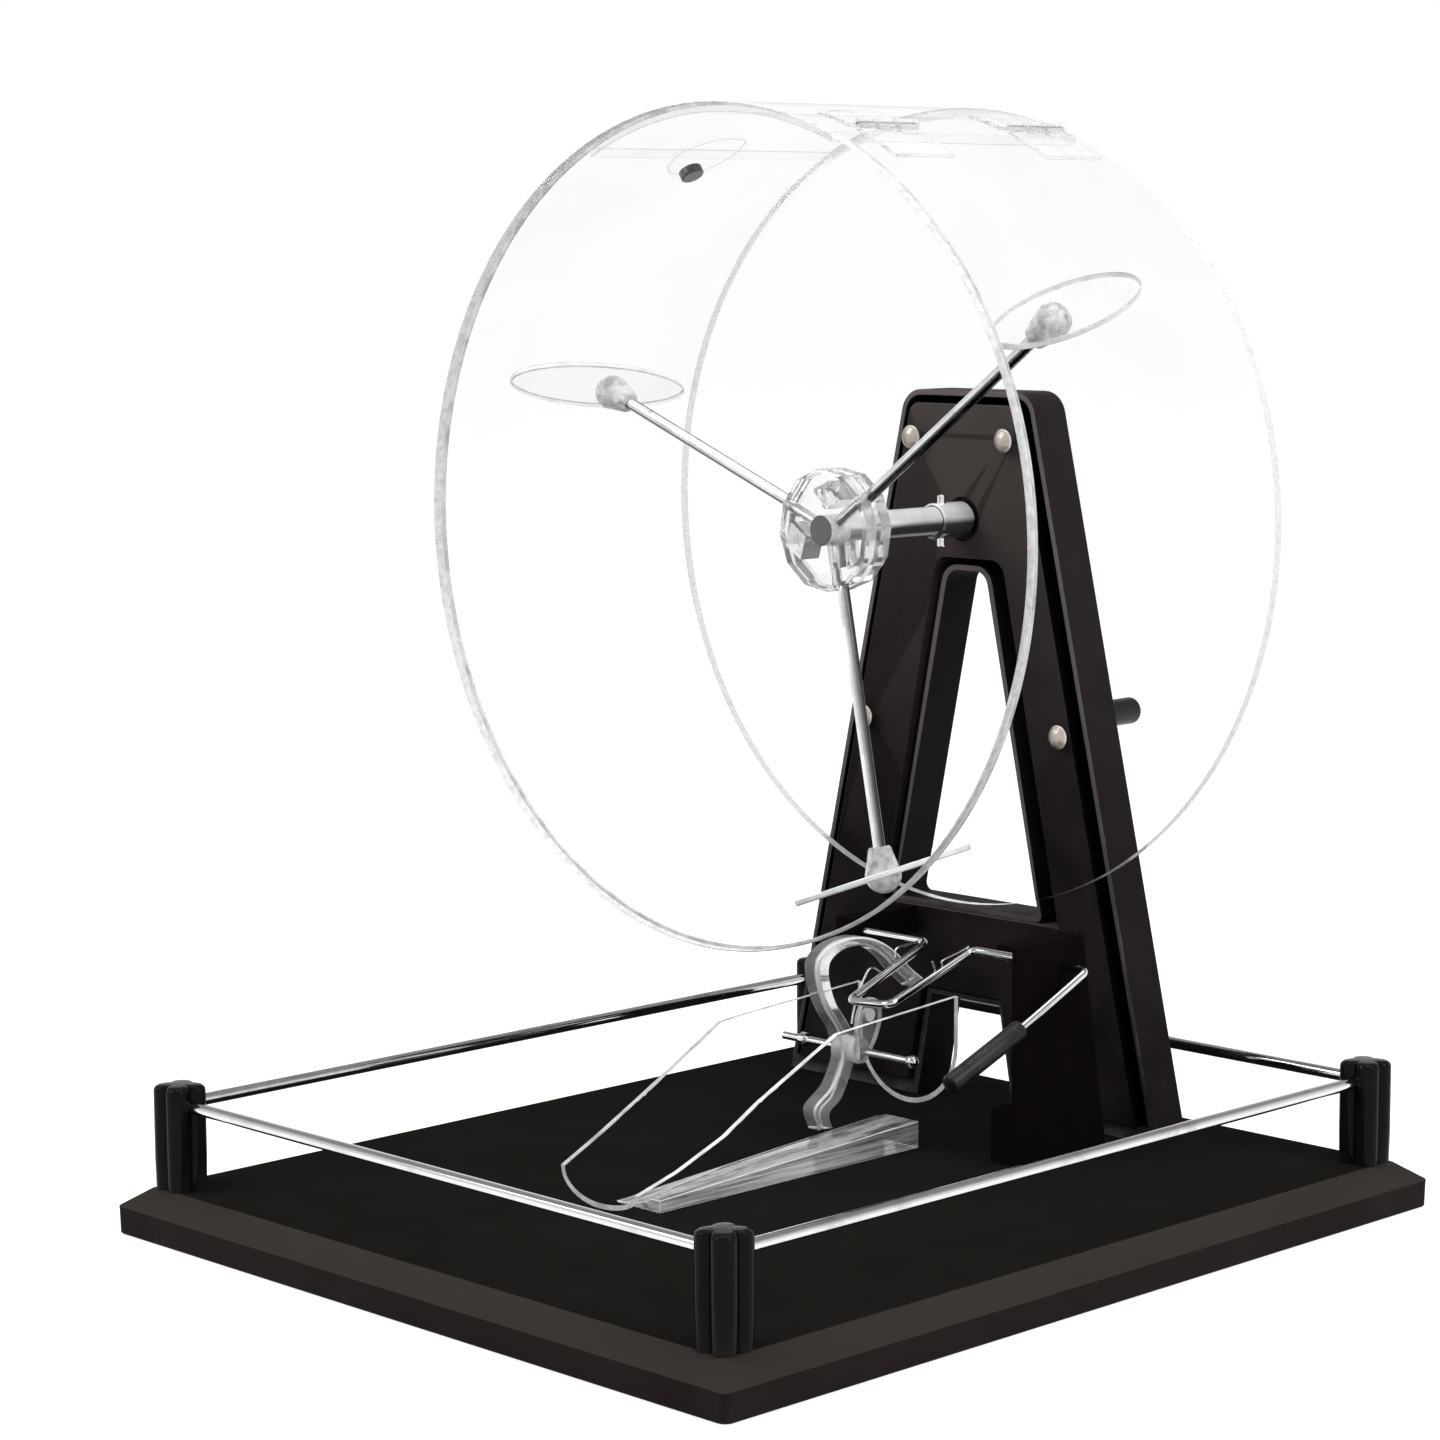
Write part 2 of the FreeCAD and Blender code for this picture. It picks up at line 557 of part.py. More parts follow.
def trough():
    """Clear bent trough: a deep U whose walls slope down to its mouth, slotted for the gate's foot."""
    sections = []
    for station in TROUGH_STATIONS:
        outer = trough_section(station, 0)
        inner = trough_section(station, TROUGH_T)[::-1]
        sections.append(Part.makePolygon(outer + inner + outer[:1]))
    body = Part.makeLoft(sections, True, True)
    (x0, y0), (x1, y1) = FOOT_SLOT
    body = body.cut(box(x0, y0, BASE_TOP, x1, y1, BASE_TOP + 25))
    return body.cut(rod(V(PIN_X0, PIN_Y, PIN_Z), V(PIN_X1, PIN_Y, PIN_Z), PIN_R))


def trough_channel():
    """Solid that fills the trough from its outer face up to its edges."""
    outlines = [trough_section(station, 0) for station in TROUGH_STATIONS]
    return Part.makeLoft([Part.makePolygon(line + line[:1]) for line in outlines], True, True)


def trough_wedge():
    """Layered bar under the trough's right side, hollowed where the trough lies in it."""
    loop = ((WEDGE_Y0, BASE_TOP), (WEDGE_Y1, BASE_TOP), (WEDGE_Y1, BASE_TOP + WEDGE_H1),
            (WEDGE_Y0, BASE_TOP + WEDGE_H0))
    return side_profile(loop, WEDGE_X0, WEDGE_X1).cut(trough_channel())


def gate_pin():
    """Cross pin through both trough walls, with a round end knob and a collar."""
    body = rod(V(PIN_X0, PIN_Y, PIN_Z), V(PIN_X1, PIN_Y, PIN_Z), PIN_R)
    return body.fuse(Part.makeSphere(3.2, V(PIN_X1, PIN_Y, PIN_Z))).removeSplitter()


def gate_collar():
    """Small collar on the pin outside the trough's left wall."""
    start, end = V(PIN_COLLAR_X, PIN_Y, PIN_Z), V(PIN_COLLAR_X + 4, PIN_Y, PIN_Z)
    return rod(start, end, 3.5).cut(rod(start, end, PIN_R))


def gate_strip():
    """Clear S-shaped rocker: a foot, a waist at the pin and a hook that blocks the drum's exit."""
    x0 = GATE_X - GATE_W / 2
    sides = []
    for line in (GATE_OUTER, GATE_INNER[::-1]):
        curve = Part.BSplineCurve()
        curve.interpolate([V(x0, y, z) for y, z in line])
        sides.append(curve.toShape())
    (y0, z0), (y1, z1) = GATE_OUTER[0], GATE_INNER[0]
    foot = Part.makeLine(V(x0, y1, z1), V(x0, y0, z0))
    (y0, z0), (y1, z1) = GATE_OUTER[-1], GATE_INNER[-1]
    tip = Part.makeLine(V(x0, y0, z0), V(x0, y1, z1))
    body = Part.Face(Part.Wire([sides[0], tip, sides[1], foot])).extrude(V(GATE_W, 0, 0))
    start, end = V(GATE_BOSS_X0, PIN_Y, PIN_Z), V(GATE_BOSS_X1, PIN_Y, PIN_Z)
    return body.fuse(rod(start, end, GATE_BOSS_R)).cut(rod(start, end, PIN_R + GATE_CLEAR)).removeSplitter()


def gate_cheek():
    """Teardrop cheek plate on the gate's right side."""
    x0 = GATE_BOSS_X1
    loop = [V(x0, 71.5, 69.0), V(x0, 70.5, 80.0), V(x0, 73.0, 89.0), V(x0, 79.0, 93.5),
            V(x0, 85.5, 91.5), V(x0, 88.5, 84.0), V(x0, 86.0, 75.0), V(x0, 80.5, 66.0),
            V(x0, 76.5, 61.5), V(x0, 72.0, 63.0)]
    curve = Part.BSplineCurve()
    curve.interpolate(loop, PeriodicFlag=True)
    plate = Part.Face(Part.Wire([curve.toShape()])).extrude(V(3, 0, 0))
    plate = plate.cut(rod(V(x0, PIN_Y, PIN_Z), V(x0 + 3, PIN_Y, PIN_Z), PIN_R + GATE_CLEAR))
    return plate.cut(rod(V(x0, 79.5, 85), V(x0 + 3, 79.5, 85), 2.5))


def lever_bracket():
    """Upright plate with a folded top and a foot block, carrying the lever on the right."""
    plate = side_profile(((88.8, BASE_TOP), (156.0, BASE_TOP), (138.0, 129.0), (88.8, 129.0)),
                         BRACKET_X0, BRACKET_X1)
    top = box(59.0, 88.8, 126.4, BRACKET_X1, 138.0, 129.0)
    foot = box(56.0, 88.8, BASE_TOP, BRACKET_X0, 111.0, BASE_TOP + 26)
    body = plate.fuse([top, foot]).removeSplitter()
    return body.cut(rod(V(50, LEVER_Y, LEVER_Z), V(80, LEVER_Y, LEVER_Z), WIRE_R + 0.05))


def lever_lug():
    """Arm from the stand to the lever's left end."""
    arm = box(LUG_X0, 116.0, LEVER_Z - 7, LUG_X1, DRUM_Y1, LEVER_Z + 7)
    return arm.cut(rod(V(LUG_X0, LEVER_Y, LEVER_Z), V(LUG_X1, LEVER_Y, LEVER_Z), WIRE_R + 0.05))


def lever_wire():
    """Release lever, one piece of bent wire."""
    return bent_wire(LEVER_WIRE, WIRE_R)


def lever_grip(wire):
    """Rubber sleeve on the lever's free end."""
    far = V(*LEVER_WIRE[-1])
    near = V(*LEVER_WIRE[-2])
    along = far - near
    along.normalize()
    return rod(near, far + along * 3, GRIP_R).cut(wire)


def save(name, shape):
    """Write one node."""
    shape.exportStep("parts/" + name + ".step")


def build_frame():
    """Everything that stands still."""
    save("base_board", base_board())
    corners = {"front_left": (-1, -1), "front_right": (1, -1), "rear_left": (-1, 1), "rear_right": (1, 1)}
    for name, (sx, sy) in corners.items():
        save("post_" + name, corner_post(sx * POST_X, sy * POST_Y))
    posts = Part.makeCompound([corner_post(sx * POST_X, sy * POST_Y) for sx, sy in corners.values()])
    for name, s in (("front", -1), ("rear", 1)):
        line = rail(V(-POST_X, s * POST_Y, RAIL_Z), V(POST_X, s * POST_Y, RAIL_Z))
        save("rail_" + name, line.cut(posts))
    for name, s in (("left", -1), ("right", 1)):
        line = rail(V(s * POST_X, -POST_Y, RAIL_Z), V(s * POST_X, POST_Y, RAIL_Z))
        save("rail_" + name, line.cut(posts))
    save("stand_shell", stand_shell())
    save("stand_panel", stand_panel())
    save("shaft_bush", shaft_bush())
    save("drum_screws", drum_screws())
    save("drum_shell", drum_shell())
    save("drum_front_disc", drum_disc(DRUM_Y0, 0))
    save("drum_rear_disc", drum_disc(SHELL_Y1, COLLAR_R + 2))
    save("door_magnet", door_magnet())
    save("hinge_leaves_fixed", hinge_leaves(False))
    save("hinge_pins", hinge_pins())
    save("trough", trough())
    save("trough_wedge", trough_wedge())
    save("gate_pin", gate_pin())
    save("gate_collar", gate_collar())
    save("lever_bracket", lever_bracket())
    save("lever_lug", lever_lug())


def build_moving():
    """Stirrer, door, lever and gate."""
    save("shaft", shaft())
    save("shaft_collar", shaft_collar())
    save("collar_screws", collar_screws())
    save("hub_front", hub_plate(SHAFT_Y0, True))
    save("hub_rear", hub_plate(SHAFT_Y0 + HUB_T, True))
    for name, angle, seat, (direction, radius, y), half_sizes, long_axis, normal in PADDLES:
        bar = spoke(angle, seat - 8)
        plate = paddle(spoke_point(radius, direction, y), half_sizes, long_axis, normal)
        save("spoke_" + name, bar)
        save("paddle_" + name, plate)
        save("boss_" + name, paddle_boss(angle, seat).cut([bar, plate]))
    save("crank_arm", crank_arm().cut(crank_screw()))
    save("crank_screw", crank_screw())
    save("crank_pin", crank_pin())
    save("crank_knob", crank_knob())
    save("door_panel", door_panel())
    save("hinge_leaves_moving", hinge_leaves(True))
    save("catch_disc", catch_disc())
    save("gate_strip", gate_strip())
    save("gate_cheek", gate_cheek())
    wire = lever_wire()
    save("lever_wire", wire)
    save("lever_grip", lever_grip(wire))


os.makedirs("parts", exist_ok=True)
build_frame()
build_moving()
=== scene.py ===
import logging
import math
from dataclasses import dataclass, replace
from enum import Enum
from typing import Callable, Iterable, Sequence

import bmesh
import bpy
import numpy as np
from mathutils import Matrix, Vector


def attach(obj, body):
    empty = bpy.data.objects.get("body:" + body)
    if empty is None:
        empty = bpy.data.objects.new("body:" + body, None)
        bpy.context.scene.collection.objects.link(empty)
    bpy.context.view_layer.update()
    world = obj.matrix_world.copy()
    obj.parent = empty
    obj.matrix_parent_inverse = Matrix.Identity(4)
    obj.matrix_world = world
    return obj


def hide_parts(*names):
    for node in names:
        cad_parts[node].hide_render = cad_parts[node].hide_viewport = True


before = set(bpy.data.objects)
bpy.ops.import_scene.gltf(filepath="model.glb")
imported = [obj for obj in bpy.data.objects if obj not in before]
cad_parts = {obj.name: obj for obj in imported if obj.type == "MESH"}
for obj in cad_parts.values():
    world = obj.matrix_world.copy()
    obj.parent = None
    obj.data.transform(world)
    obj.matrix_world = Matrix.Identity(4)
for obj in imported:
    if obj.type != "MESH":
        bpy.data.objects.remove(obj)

LOG = logging.getLogger("raffle_drum")
Array = np.ndarray
Piece = bpy.types.Object
Node = bpy.types.Node
Material = bpy.types.Material
Socket = bpy.types.NodeSocket
Colour = tuple[float, ...]
Place = tuple[float, float, float]
Span = tuple[float, float]
Outline = tuple[Span, ...]
MM = 0.001
ALONG_X = (1.0, 0.0, 0.0)
ALONG_Y = (0.0, 1.0, 0.0)


# ---------------------------------------------------------------- frame of the machine


@dataclass(frozen=True)
class Layout:
    """Shared places of the machine, in millimetres, in the shared frame."""

    drum_x: float = -33.0
    drum_z: float = 329.0
    drum_r: float = 200.0
    wall: float = 5.0
    drum_y0: float = -14.0
    drum_y1: float = 165.5
    disc_t: float = 5.0
    shaft_z: float = 324.5
    spoke_y: float = 73.0
    base_top: float = 22.0


PLACE = Layout()


class Axis(Enum):
    """Axes of the shared frame, by their place in a point."""

    X = 0
    Y = 1
    Z = 2


# ---------------------------------------------------------------- shader building blocks


class Nodes:
    """Small helper round one shader node tree."""

    def __init__(self, tree: bpy.types.NodeTree) -> None:
        """Keep the tree and empty it.

        Args:
            tree: the node tree to fill.
        """
        self.tree = tree
        tree.nodes.clear()

    def add(self, kind: str, **values: object) -> Node:
        """Add a node and set its properties and inputs.

        Args:
            kind: Blender's node type name.
            values: as fill takes them.

        Returns:
            The new node.
        """
        node = self.tree.nodes.new(kind)
        self.fill(node, **values)
        return node

    def fill(self, node: Node, **values: object) -> None:
        """Set a node's properties and inputs.

        Args:
            node: the node.
            values: properties, or inputs by name with spaces as underscores, each a value or a socket.
        """
        for key, value in values.items():
            if hasattr(node, key):
                setattr(node, key, value)
            else:
                self.feed(node.inputs[key.replace("_", " ")], value)

    def feed(self, socket: Socket, value: object) -> None:
        """Link an input to a socket, or set it to a plain value.

        Args:
            socket: the input.
            value: a socket, number or colour.
        """
        if isinstance(value, Socket):
            self.link(value, socket)
        else:
            socket.default_value = value

    def link(self, start: Socket, end: Socket) -> None:
        """Join an output socket to an input socket."""
        self.tree.links.new(start, end)

    def math(self, operation: str, a: object, b: object = 0.0, clamp: bool = False) -> Socket:
        """Add a Math node.

        Args:
            operation: name of the operation.
            a: first socket or number.
            b: second socket or number.
            clamp: keep the result between 0 and 1.

        Returns:
            The node's output socket.
        """
        node = self.add("ShaderNodeMath", operation=operation, use_clamp=clamp)
        for socket, value in zip(node.inputs, (a, b)):
            self.feed(socket, value)
        return node.outputs[0]

    def ramp(self, value: Socket, low: float, high: float, to_low: float = 0.0,
             to_high: float = 1.0) -> Socket:
        """Map a value smoothly from one range to another.

        Args:
            value: the socket to map.
            low: value that gives to_low.
            high: value that gives to_high.
            to_low: result at the low end.
            to_high: result at the high end.

        Returns:
            The mapped value's socket.
        """
        node = self.add("ShaderNodeMapRange", interpolation_type="SMOOTHSTEP")
        for socket, number in zip(node.inputs, (value, low, high, to_low, to_high)):
            self.feed(socket, number)
        return node.outputs[0]

    def mix(self, factor: object, a: object, b: object) -> Socket:
        """Mix two colours.

        Args:
            factor: socket or number, 0 for a and 1 for b.
            a: socket or RGBA colour.
            b: socket or RGBA colour.

        Returns:
            The mixed colour's socket.
        """
        node = self.add("ShaderNodeMix", data_type="RGBA")
        for index, value in ((0, factor), (6, a), (7, b)):
            self.feed(node.inputs[index], value)
        return node.outputs[2]

    def blend(self, share: Socket, a: Node, b: Node) -> Socket:
        """Mix two shaders.

        Args:
            share: 0 for a and 1 for b.
            a: first shader node.
            b: second shader node.

        Returns:
            The mixed shader's socket.
        """
        node = self.add("ShaderNodeMixShader")
        for socket, value in zip(node.inputs, (share, a.outputs[0], b.outputs[0])):
            self.feed(socket, value)
        return node.outputs[0]

    def bump(self, shader: Node, height: Socket, strength: float, distance: float) -> None:
        """Bend a shader's normal by a height.

        Args:
            shader: the Principled node.
            height: the height's socket.
            strength: the bump's strength.
            distance: its depth in metres.
        """
        node = self.add("ShaderNodeBump", Strength=strength, Distance=distance, Height=height)
        self.link(node.outputs[0], shader.inputs["Normal"])


def new_group(name: str, inputs: dict[str, float], outputs: Sequence[str]) -> bpy.types.NodeTree:
    """Start a shader node group with number inputs and number outputs.

    Args:
        name: the group's name.
        inputs: input names with their default values.
        outputs: output names.

    Returns:
        The empty group's tree, with its interface made.
    """
    tree = bpy.data.node_groups.new(name, "ShaderNodeTree")
    tree.interface.new_socket("Place", in_out="INPUT", socket_type="NodeSocketVector")
    for label, value in inputs.items():
        socket = tree.interface.new_socket(label, in_out="INPUT", socket_type="NodeSocketFloat")
        socket.default_value = value
    for label in outputs:
        tree.interface.new_socket(label, in_out="OUTPUT", socket_type="NodeSocketFloat")
    return tree


def grain_group() -> bpy.types.NodeTree:
    """Fine moulded grain: two sizes of noise added, as a height and a roughness mask."""
    tree = new_group("moulded_grain", {"Size": 900.0, "Depth": 1.0}, ("Height", "Mask"))
    kit = Nodes(tree)
    start, end = kit.add("NodeGroupInput"), kit.add("NodeGroupOutput")
    place, size = start.outputs["Place"], start.outputs["Size"]
    fine = kit.add("ShaderNodeTexNoise", Vector=place, Scale=size, Detail=3.0, Roughness=0.6)
    broad = kit.add("ShaderNodeTexNoise", Vector=place, Scale=26.0, Detail=4.0, Roughness=0.55)
    kit.fill(end, Height=kit.math("MULTIPLY", fine.outputs[0], start.outputs["Depth"]),
             Mask=kit.ramp(broad.outputs[0], 0.35, 0.65))
    return tree


def wear_group() -> bpy.types.NodeTree:
    """Edge wear: convex edges found by pointiness, broken up by noise, as one mask."""
    tree = new_group("edge_wear", {"Reach": 0.56, "Patchiness": 40.0}, ("Wear",))
    kit = Nodes(tree)
    start, end = kit.add("NodeGroupInput"), kit.add("NodeGroupOutput")
    shape = kit.add("ShaderNodeNewGeometry")
    noise = kit.add("ShaderNodeTexNoise", Vector=start.outputs["Place"], Scale=start.outputs["Patchiness"],
                    Detail=5.0, Roughness=0.65)
    edge = kit.ramp(shape.outputs["Pointiness"], 0.51, 0.58)
    patch = kit.ramp(noise.outputs[0], 0.42, 0.6)
    kit.fill(end, Wear=kit.math("MULTIPLY", edge, patch))
    return tree


def smudge_group() -> bpy.types.NodeTree:
    """Handling marks: stretched soft noise with faint fine scratches, as one mask."""
    tree = new_group("handling_marks", {"Size": 14.0, "Scratches": 0.3}, ("Marks",))
    kit = Nodes(tree)
    start, end = kit.add("NodeGroupInput"), kit.add("NodeGroupOutput")
    place, size = start.outputs["Place"], start.outputs["Size"]
    soft = kit.add("ShaderNodeTexNoise", Vector=place, Scale=size, Detail=4.0, Roughness=0.6, Distortion=0.6)
    fine = kit.add("ShaderNodeTexWave", Vector=place, Scale=190.0, Distortion=9.0, Detail=3.0)
    lines = kit.math("MULTIPLY", kit.ramp(fine.outputs[1], 0.985, 1.0), start.outputs["Scratches"])
    cloud = kit.ramp(soft.outputs[0], 0.45, 0.72)
    kit.fill(end, Marks=kit.math("ADD", cloud, lines, clamp=True))
    return tree


class Shelf:
    """The shader node groups, each built once."""

    def __init__(self) -> None:
        """Build the groups that several finishes share."""
        self.grain = grain_group()
        self.wear = wear_group()
        self.marks = smudge_group()

    def use(self, kit: Nodes, tree: bpy.types.NodeTree, place: Socket, **values: float) -> Node:
        """Place a group in a material.

        Args:
            kit: the material's nodes.
            tree: the group.
            place: the coordinates it works on.
            values: its inputs by name.

        Returns:
            The group's node.
        """
        return kit.add("ShaderNodeGroup", node_tree=tree, Place=place, **values)


SHELF = Shelf()


def start_material(name: str) -> tuple[Material, Nodes, Node, Socket]:
    """Start a material with a Principled shader and Object coordinates.

    Args:
        name: the material's name.

    Returns:
        The material, its nodes, its Principled node and the Object coordinate socket.
    """
    material = bpy.data.materials.new(name)
    material.use_nodes = True
    kit = Nodes(material.node_tree)
    shader = kit.add("ShaderNodeBsdfPrincipled")
    kit.add("ShaderNodeOutputMaterial", Surface=shader.outputs[0])
    return material, kit, shader, kit.add("ShaderNodeTexCoord").outputs["Object"]


def rgba(colour: Sequence[float], share: float = 1.0) -> Colour:
    """RGB times a share, with an opaque alpha."""
    return (*(c * share for c in colour[:3]), 1.0)


def grey(value: float) -> Colour:
    """Opaque grey of one value."""
    return (value, value, value, 1.0)


# ---------------------------------------------------------------- finishes


@dataclass(frozen=True)
class BlackMoulding:
    """Black plastic or lacquer: painted shade that darkens its tone towards the bottom, grain, marks and worn
    edges.
    """

    name: str
    colour: Colour
    worn: Colour
    rough: Span
    # colour and height span of the painted shade towards the bottom, or None for no painted shade
    painted_foot_shade: Colour | None = None
    painted_shade_span: Span = (0.0, 0.39)
    mottle: float = 0.12
    grain: float = 900.0
    bump: float = 0.05
    specular: float = 0.4
    wear: float = 0.5

    def tone(self, kit: Nodes, place: Socket) -> object:
        """Base tone, with painted shade that darkens it towards the bottom where a shade colour is given.

        Args:
            kit: the material's nodes.
            place: Object coordinates.

        Returns:
            A colour or a colour socket.
        """
        if self.painted_foot_shade is None:
            return rgba(self.colour)
        # painted shade: the tone runs from the shade colour at the bottom up to the plain colour, by height
        split = kit.add("ShaderNodeSeparateXYZ", Vector=place)
        height = kit.ramp(split.outputs["Z"], *self.painted_shade_span)
        return kit.mix(height, rgba(self.painted_foot_shade), rgba(self.colour))

    def make(self) -> Material:
        """Build the material.

        Returns:
            The finished material.
        """
        material, kit, shader, place = start_material(self.name)
        grain = SHELF.use(kit, SHELF.grain, place, Size=self.grain)
        wear = SHELF.use(kit, SHELF.wear, place)
        marks = SHELF.use(kit, SHELF.marks, place)
        base = self.tone(kit, place)
        cloud = kit.math("MULTIPLY", grain.outputs["Mask"], self.mottle)
        tone = kit.mix(cloud, base, rgba(self.worn))
        worn = kit.math("MULTIPLY", wear.outputs["Wear"], self.wear)
        kit.fill(shader, Base_Color=kit.mix(worn, tone, rgba(self.worn)), Specular_IOR_Level=self.specular,
                 Roughness=kit.ramp(marks.outputs["Marks"], 0.0, 1.0, *self.rough))
        kit.bump(shader, grain.outputs["Height"], self.bump, 0.0004)
        return material


def let_light_through(kit: Nodes, shader: Node, tint: float, straight: bool = False) -> None:
    """Make a clear material cast only a light shadow, as thin clear plastic does.

    Args:
        kit: the material's nodes.
        shader: its Principled node.
        tint: how much light passes.
        straight: let every ray but a mirrored one pass unbent, as a thin flat sheet does.
    """
    clear = kit.add("ShaderNodeBsdfTransparent", Color=grey(tint))
    path = kit.add("ShaderNodeLightPath")
    output = next(node for node in kit.tree.nodes if node.type == "OUTPUT_MATERIAL")
    share = kit.math("MAXIMUM", path.outputs["Is Shadow Ray"], path.outputs["Is Diffuse Ray"])
    if straight:
        share = kit.math("SUBTRACT", 1.0, path.outputs["Is Glossy Ray"])
    kit.fill(output, Surface=kit.blend(share, shader, clear))


@dataclass(frozen=True)
class ClearAcrylic:
    """Clear acrylic with faint handling marks.

    clear is the share of light that it lets pass, and an outline under 1 darkens it at a grazing angle as
    painted shade.
    """

    name: str
    ior: float = 1.04
    tint: float = 0.99
    shade: float = 0.97
    rough: Span = (0.0, 0.006)
    clear: float = 1.0
    size: float = 9.0
    bump: float = 0.01
    specular: float = 0.3
    outline: float = 1.0
    straight: bool = False

    def make(self) -> Material:
        """Build the material.

        Returns:
            The finished material.
        """
        material, kit, shader, place = start_material(self.name)
        marks = SHELF.use(kit, SHELF.marks, place, Size=self.size, Scratches=0.2)
        tone = kit.mix(marks.outputs["Marks"], grey(self.tint), grey(self.tint * self.shade))
        if self.outline < 1.0:
            # Painted shade: grey towards grazing angles, which draws the drum's silhouettes.
            graze = kit.add("ShaderNodeLayerWeight", Blend=0.5).outputs["Facing"]
            tone = kit.mix(kit.ramp(graze, 0.88, 0.99), tone, grey(self.outline))
        kit.fill(shader, Base_Color=tone, Transmission_Weight=self.clear, IOR=self.ior,
                 Specular_IOR_Level=self.specular,
                 Roughness=kit.ramp(marks.outputs["Marks"], 0.0, 1.0, *self.rough))
        kit.bump(shader, marks.outputs["Marks"], self.bump, 0.0005)
        let_light_through(kit, shader, self.tint * (0.996 if self.straight else 0.985), self.straight)
        return material


@dataclass(frozen=True)
class CutAcrylicEdge:
    """Sawn and polished acrylic edge: pale, partly clear, with uneven grey streaks."""

    name: str
    pale: float
    dark: float
    stretch: Place = (1.0, 1.0, 1.0)
    scale: float = 45.0
    clear: float = 0.4
    rough: float = 0.14

    def make(self) -> Material:
        """Build the material.

        Returns:
            The finished material.
        """
        material, kit, shader, place = start_material(self.name)
        turn = kit.add("ShaderNodeMapping", Vector=place, Scale=self.stretch)
        noise = kit.add("ShaderNodeTexNoise", Vector=turn.outputs[0], Scale=self.scale, Detail=5.0,
                        Roughness=0.65)
        tone = kit.mix(kit.ramp(noise.outputs[0], 0.34, 0.6), grey(self.dark), grey(self.pale))
        kit.fill(shader, Base_Color=tone, Transmission_Weight=self.clear, IOR=1.12,
                 Roughness=kit.ramp(noise.outputs[0], 0.3, 0.7, self.rough, self.rough * 2))
        kit.bump(shader, noise.outputs[0], 0.08, 0.0003)
        let_light_through(kit, shader, 0.85)
        return material


@dataclass(frozen=True)
class DrawnSteel:
    """Polished drawn steel: fine lines, slight dulling and a painted shade that darkens the side away from
    the light.
    """

    name: str
    colour: Colour
    rough: Span = (0.14, 0.26)
    lines: float = 700.0
    dull: float = 0.7
    metal: float = 1.0
    # under is the share of the colour left on the painted shaded side, and light_side the direction the
    # painted light comes from
    under: float = 1.0
    light_side: Place = (-0.3, -0.3, 0.9)

    def make(self) -> Material:
        """Build the material.

        Returns:
            The finished material.
        """
        material, kit, shader, place = start_material(self.name)
        marks = SHELF.use(kit, SHELF.marks, place, Size=30.0)
        wear = SHELF.use(kit, SHELF.wear, place)
        fine = kit.add("ShaderNodeTexNoise", Vector=place, Scale=self.lines, Detail=3.0, Roughness=0.7)
        tone = kit.mix(marks.outputs["Marks"], rgba(self.colour), rgba(self.colour, self.dull))
        tone = kit.mix(wear.outputs["Wear"], tone, grey(0.8))
        # Painted shade: faces turned away from light_side are darkened towards under times the colour.
        if self.under < 1.0:
            side = kit.add("ShaderNodeVectorMath", operation="DOT_PRODUCT")
            kit.link(kit.add("ShaderNodeNewGeometry").outputs["Normal"], side.inputs[0])
            side.inputs[1].default_value = self.light_side
            low = kit.ramp(side.outputs["Value"], -0.05, 0.36, 1.0, 0.0)
            tone = kit.mix(low, tone, rgba(self.colour, self.under))
        kit.fill(shader, Base_Color=tone, Metallic=self.metal,
                 Roughness=kit.ramp(marks.outputs["Marks"], 0.0, 1.0, *self.rough))
        kit.bump(shader, fine.outputs[0], 0.04, 0.0002)
        return material


